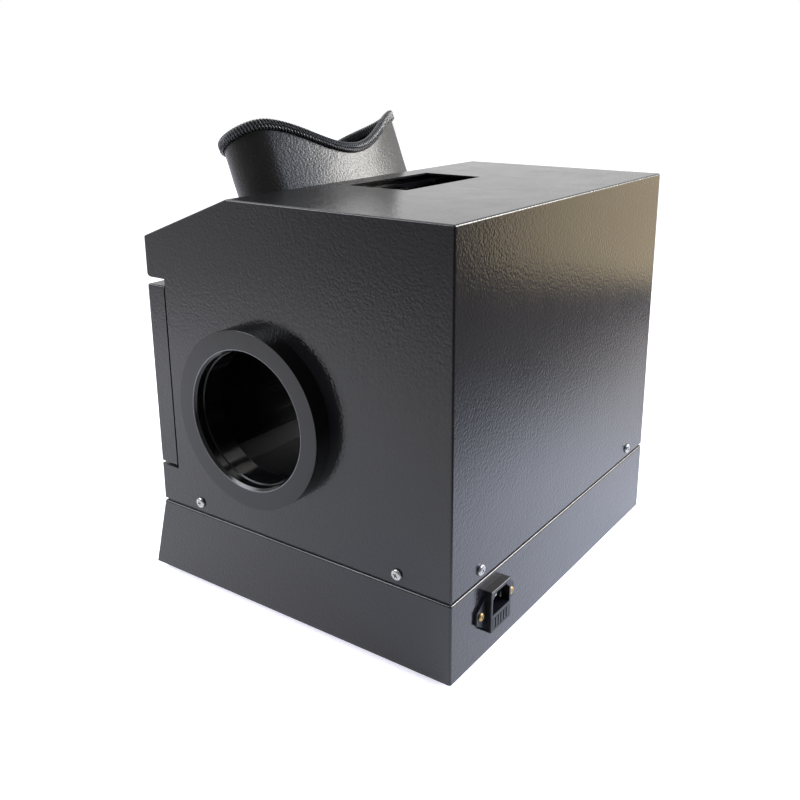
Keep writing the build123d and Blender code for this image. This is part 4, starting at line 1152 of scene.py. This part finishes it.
@dataclass
class Fasteners:
    """The housing's screws and the inlet's screws, where their solids stand."""

    side_spacing: float = 182.8
    rear_spacing: float = 244.8
    inlet_spacing: float = 40.0
    inlet_ear: float = 2.0
    turns: tuple[float, ...] = (18.0, 62.0, -24.0, 41.0, 8.0, -51.0)

    def housing_places(self) -> list[Matrix]:
        """Places of the six housing screws.

        Returns:
            One place for each screw, its z outwards.
        """
        level = middle("housing_screws").z
        wall_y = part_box("cabinet_wrap")[1].y
        middle_y = (wall_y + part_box("cabinet_wrap")[0].y) / 2
        places = []
        for sign, side in ((1, "right"), (-1, "left")):
            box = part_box(f"cabinet_side_{side}")
            x = box[1].x if sign > 0 else box[0].x
            for end in (-1, 1):
                spot = Vector((x, middle_y + end * self.side_spacing / 2 * MM, level))
                places.append(outward(spot, (sign, 0, 0), (0, 0, 1)))
        for end in (-1, 1):
            spot = Vector((end * self.rear_spacing / 2 * MM, wall_y, level))
            places.append(outward(spot, (0, 1, 0), (0, 0, 1)))
        return self.turned(places)

    def inlet_places(self) -> list[Matrix]:
        """Places of the inlet's two screws, on its ears."""
        centre = middle("inlet_screws")
        centre.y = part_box("base_housing")[1].y + self.inlet_ear * MM
        ends = (-self.inlet_spacing / 2 * MM, self.inlet_spacing / 2 * MM)
        spots = [centre + Vector((x, 0, 0)) for x in ends]
        return self.turned([outward(spot, (0, 1, 0), (0, 0, 1)) for spot in spots])

    def turned(self, places: list[Matrix]) -> list[Matrix]:
        """Turn each screw's cross to an angle of its own."""
        turns = [Matrix.Rotation(radians(turn), 4, "Z") for turn in self.turns]
        return [place @ turn for place, turn in zip(places, turns)]

    def build(self) -> None:
        """Model both sets."""
        housing = CrossScrew(4.0, 2.2, 1.95, 7.5)
        housing.place_all(
            "housing_screw_set", self.housing_places(), "polished_screw", "housing_screws"
        )
        small = CrossScrew(2.9, 1.6, 1.45, 8.0, cross_width=0.75, cross_depth=0.85)
        small.place_all("inlet_screw_set", self.inlet_places(), "brass_screw", "inlet_screws")


# ---- door furniture
@dataclass
class DoorKnob:
    """Turned knob with a narrow neck, sizes in millimetres."""

    radius: float = 10.0
    neck: float = 5.5
    stand: float = 14.0
    head: float = 7.5
    taper: float = 0.7
    faces: int = 72
    edge: float = 0.3

    def build(self) -> None:
        """Turn the knob and set it on the door."""
        low, top, radius = self.stand - self.head, self.stand, self.radius
        outline = [
            (0.0, 0.0), (self.neck, 0.0), (self.neck, low * self.taper), (self.neck + 0.8, low),
            (radius - 1.4, low), (radius - 0.4, low + 0.7), (radius, low + 1.8),
            (radius, top - 3.0), (radius - 0.7, top - 1.4), (radius - 2.2, top - 0.35),
            (radius - 4.0, top), (0.0, top),
        ]
        knob = Bench.lathe("turned_knob", outline, self.faces, bevel=self.edge)
        spot = middle("door_knob")
        spot.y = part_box("door_knob")[1].y
        Bench.settle(knob, outward(spot, (0, -1, 0), (0, 0, 1)))
        Bench.smooth(knob, angle=30)
        dress(knob, "knob_plastic", "door", "door_knob")


@dataclass
class HingeRivets:
    """Rows of flat rivets through both leaves of the piano hinge, sizes in millimetres."""

    count: int = 7
    radius: float = 1.9
    height: float = 0.7
    margin: float = 18.0
    inset: float = 4.2
    leaf: float = 0.8
    faces: int = 24

    def row(self, node: str, body: str) -> None:
        """Rivet one leaf.

        Args:
            node: The leaf's node.
            body: The body that it rides on.
        """
        outline = [
            (0.0, 0.0), (self.radius, 0.0), (self.radius * 0.92, self.height * 0.45),
            (self.radius * 0.62, self.height * 0.85), (0.0, self.height),
        ]
        rivet = Bench.lathe("rivet_pattern", outline, self.faces)
        Bench.smooth(rivet, angle=50)
        low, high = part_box(node)
        inset = self.inset * MM
        level = high.z - inset if body == "door" else low.z + inset
        leaf_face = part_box("front_door")[0].y - self.leaf * MM
        span = (high.x - low.x) / 2 - self.margin * MM
        shares = [2 * number / (self.count - 1) - 1 for number in range(self.count)]
        spots = [Vector((span * share, leaf_face, level)) for share in shares]
        places = [outward(spot, (0, -1, 0), (0, 0, 1)) for spot in spots]
        rivets = Bench.copies(rivet, f"{node}_rivets", places)
        dress(rivets, "zinc_plate", body)

    def build(self) -> None:
        """Rivet both leaves."""
        self.row("door_hinge_fixed_leaf", "cabinet")
        self.row("door_hinge_moving_leaf", "door")


# ---- switches and inlet
@dataclass
class RockerMarks:
    """The I and O marks in a rocker's two halves, sizes in millimetres."""

    name: str
    radius: float = 1.5
    line: float = 0.35
    thick: float = 0.15
    proud: float = 0.05
    faces: int = 36
    edge: float = 0.03
    reach: float = 4.3
    rocker_half: float = 7.0
    rocker_rise: float = 1.2
    rocker_face: float = 5.0
    tilt: float = 7.0
    base_rise: float = 58.3
    base_toe: float = 16.2

    def build(self) -> None:
        """Model both marks and set them in the rocker."""
        self.settle(self.ring(), -1)
        self.settle(self.bar(), 1)

    def ring(self) -> bpy.types.Object:
        """Turn the O mark."""
        inner, low, high = self.radius - self.line, self.proud - self.thick, self.proud
        outline = [(self.radius, low), (self.radius, high), (inner, high), (inner, low)]
        return Bench.lathe(f"rocker_{self.name}_off_mark", [*outline, outline[0]], self.faces)

    def bar(self) -> bpy.types.Object:
        """Shape the I mark."""
        Bench.clear()
        bpy.ops.mesh.primitive_cube_add(size=1)
        bar = bpy.context.active_object
        bar.name = f"rocker_{self.name}_on_mark"
        bar.scale = (self.line * MM, 2 * self.radius * MM, self.thick * MM)
        bpy.ops.object.transform_apply(location=False, rotation=False, scale=True)
        Bench.modify(bar, "BEVEL", width=self.edge * MM, segments=2, limit_method="ANGLE")
        return bar

    def settle(self, mark: bpy.types.Object, half: int) -> None:
        """Set a mark in one half of the rocker's face.

        Args:
            mark: The mark, modelled at the origin.
            half: 1 for the upper half, -1 for the lower one.
        """
        joint = next(j for j in frame["joints"] if j["name"] == f"{self.name}_switch")
        slope = atan2(self.base_toe, self.base_rise)
        pivot = Vector(joint["pos_m"])
        face = outward(pivot, (0, -cos(slope), sin(slope)), (0, sin(slope), cos(slope)))
        face = face @ Matrix.Rotation(radians(self.tilt), 4, "X")
        lean = atan2(self.rocker_rise, self.rocker_half)
        top = self.rocker_face + self.rocker_rise * self.reach / self.rocker_half + 0.02
        place = Matrix.Translation((0, half * self.reach * MM, top * MM))
        Bench.settle(mark, face @ place @ Matrix.Rotation(half * lean, 4, "X"))
        dress(mark, "mark_white", f"rocker_{self.name}")


@dataclass
class SoftEdges:
    """Moulded pieces whose solids only lack the rounding of their edges, in millimetres."""

    widths: dict[str, float] = field(default_factory=lambda: {
        "inlet_body": 0.35,
        "fuse_drawer": 0.2,
        "switch_housing_upper_lamp": 0.25,
        "switch_housing_power": 0.25,
        "switch_housing_lower_lamp": 0.25,
        "rocker_upper_lamp": 0.3,
        "rocker_power": 0.3,
        "rocker_lower_lamp": 0.3,
    })

    def build(self) -> None:
        """Round each solid's edges and let the copy stand for it."""
        slots = {entry["node"]: entry["material_slot"] for entry in frame["record"]["subparts"]}
        for node, width in self.widths.items():
            piece = Bench.softened(node, f"{node}_moulded", width)
            dress(piece, slots[node], frame["nodes"][node]["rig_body"], node)


def dress_solids() -> None:
    """Give each solid the finish of its slot."""
    for entry in frame["record"]["subparts"]:
        for slot in frame["nodes"][entry["node"]].material_slots:
            slot.material = Palette.get(entry["material_slot"])
        LOG.info("%s: %s", entry["node"], entry["material_slot"])


# ---- studio
@dataclass
class SoftBox:
    """One rectangular studio lamp."""

    name: str
    place: Point
    aim: Point
    size: Flat
    power: float
    colour: Colour
    spread: float = 180.0

    def build(self) -> None:
        """Hang the lamp."""
        light = bpy.data.lights.new(self.name, "AREA")
        light.shape = "RECTANGLE"
        light.size, light.size_y = self.size
        light.energy = self.power
        light.color = self.colour
        light.spread = radians(self.spread)
        lamp = bpy.data.objects.new(self.name, light)
        bpy.context.scene.collection.objects.link(lamp)
        lamp.location = self.place
        way = Vector(self.aim) - Vector(self.place)
        lamp.rotation_euler = way.to_track_quat("-Z", "Y").to_euler()


@dataclass
class Studio:
    """White room: floor, world, lamps and camera.

    The fades are distances from the middle in millimetres: there the floor's white gives way to
    flags, for gloss alone. The camera's own view of the floor and the world stays white.
    """

    floor_half: float = 4.0
    floor_tone: Colour = (0.82, 0.82, 0.83)
    lift: float = 0.6
    floor_glow: Colour = (0.965, 0.945, 1.07)
    white_from: Flat = (350.0, 900.0)
    right_fade: Flat = (420.0, 900.0)
    right_share: float = 0.4
    corner_fade: Flat = (80.0, 680.0)
    corner_share: float = 0.8
    back_fade: Flat = (235.0, 430.0)
    flag_tone: Colour = (0.25, 0.25, 0.26)
    ambient: float = 0.30
    world_flag: Point = (0.82, 0.57, 0.0)
    world_fade: Flat = (-0.1, 0.6)
    world_share: float = 0.65
    camera_turn: float = 124.57
    camera_rise: float = 16.12
    camera_distance: float = 0.746
    camera_aim: Point = (0.0, 0.005, 0.184)
    lens: float = 41.67
    shift: Flat = (-0.024, -0.0824)
    lamps: tuple[SoftBox, ...] = (
        SoftBox(
            "overhead_box", (-0.35, -0.35, 1.8), (0, 0, 0.1), (2.0, 2.0), 13.0,
            (0.97, 0.985, 1.0),
        ),
        SoftBox(
            "front_floor_box", (0.66, -0.76, 0.7), (0.28, -0.36, 0), (0.8, 0.8), 3.0,
            (0.90, 0.94, 1.0), 60,
        ),
        SoftBox(
            "rear_floor_box", (-0.22, 0.62, 0.5), (-0.06, 0.20, 0), (0.5, 0.5), 1.5,
            (0.58, 0.72, 1.0), 60,
        ),
        SoftBox(
            "rear_left_box", (-0.82, 0.46, 0.21), (0, 0.13, 0.24), (0.40, 0.32), 0.72,
            (1.0, 0.81, 0.50),
        ),
        SoftBox(
            "rear_high_box", (-1.5, 1.2, 0.97), (0, -0.02, 0.35), (1.2, 0.9), 6.8,
            (1.0, 0.97, 0.93), 44,
        ),
    )

    def floor(self) -> None:
        """Lay the floor, white for the camera and with darker flags in gloss."""
        Bench.clear()
        bpy.ops.mesh.primitive_plane_add(size=2 * self.floor_half, location=(0, 0, 0))
        floor = bpy.context.active_object
        floor.name = "floor"
        paint, material = Paint.named("floor_white")
        spot = paint.place()
        reach = paint.node("ShaderNodeVectorMath", {"operation": "LENGTH"}, {0: spot}, "Value")
        far = reach.between(*self.white_from) * (1 - self.lift) + self.lift
        right, back = (paint.node("ShaderNodeSeparateXYZ", {}, {0: spot}, side) for side in "XY")
        corner = (right + back).between(*self.corner_fade)
        kept = 1 - right.between(*self.right_fade) * self.right_share
        kept = kept * (1 - corner * self.corner_share)
        mirrored = self.mirrored(paint)
        flag = back.between(*self.back_fade) * mirrored
        kept = 1 - (1 - kept) * mirrored
        share = self.seen(paint) * far * kept * (1 - flag)
        paint.set(
            Base_Color=paint.blend(flag, self.floor_tone, self.flag_tone),
            Roughness=0.9,
            Specular_IOR_Level=0.1,
            Emission_Color=paint.blend(share, BLACK, self.floor_glow),
            Emission_Strength=1.0,
        )
        floor.data.materials.append(material)

    @staticmethod
    def seen(paint: Paint) -> Signal:
        """1 for rays that show the background: from the camera, in gloss and through glass.

        Args:
            paint: The nodes of the floor or the world.

        Returns:
            The signal.
        """
        rays = [
            paint.node("ShaderNodeLightPath", output=name)
            for name in ("Is Camera Ray", "Is Glossy Ray", "Is Transmission Ray")
        ]
        return (rays[0] + rays[1] + rays[2]).between(0, 1)

    @staticmethod
    def mirrored(paint: Paint) -> Signal:
        """1 for every ray but the camera's own."""
        return 1 - paint.node("ShaderNodeLightPath", output="Is Camera Ray")

    def world(self) -> None:
        """Surround the floor with white, dim as a light and flagged on one side in gloss."""
        world = bpy.data.worlds.new("studio")
        bpy.context.scene.world = world
        paint = Paint(world, "Background")
        dim = (self.ambient, self.ambient, self.ambient)
        way = paint.node("ShaderNodeTexCoord", output="Generated")
        inputs = {0: way, 1: self.world_flag}
        towards = paint.node("ShaderNodeVectorMath", {"operation": "DOT_PRODUCT"}, inputs, "Value")
        flag = towards.between(*self.world_fade) * self.mirrored(paint) * self.world_share
        white = paint.blend(flag, WHITE, BLACK)
        paint.set(Color=paint.blend(self.seen(paint), dim, white), Strength=1.0)

    def camera(self) -> None:
        """Stand the camera at its angle and distance."""
        turn, rise = radians(self.camera_turn), radians(self.camera_rise)
        away = Vector((sin(turn) * cos(rise), -cos(turn) * cos(rise), sin(rise)))
        data = bpy.data.cameras.new("camera")
        data.lens = self.lens
        data.sensor_width = 36.0
        data.sensor_fit = "HORIZONTAL"
        data.shift_x, data.shift_y = self.shift
        data.clip_start = 0.01
        camera = bpy.data.objects.new("camera", data)
        bpy.context.scene.collection.objects.link(camera)
        camera.location = Vector(self.camera_aim) + away * self.camera_distance
        camera.rotation_euler = (-away).to_track_quat("-Z", "Y").to_euler()
        bpy.context.scene.camera = camera

    def build(self) -> None:
        """Set the whole studio."""
        bpy.context.scene.view_settings.view_transform = "Standard"
        self.floor()
        self.world()
        self.camera()
        for lamp in self.lamps:
            lamp.build()


def main() -> None:
    """Dress the solids, add the new pieces and light them."""
    logging.basicConfig(level=logging.INFO, format="%(name)s %(message)s")
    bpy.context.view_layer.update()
    dress_solids()
    builders: list[Callable[[], None]] = [
        ViewingHood().build,
        HandPort("right").build,
        HandPort("left").build,
        Fasteners().build,
        DoorKnob().build,
        HingeRivets().build,
        SoftEdges().build,
        *(RockerMarks(name).build for name in ("upper_lamp", "power", "lower_lamp")),
        Studio().build,
    ]
    for build in builders:
        build()


if __name__ == "__main__":
    main()
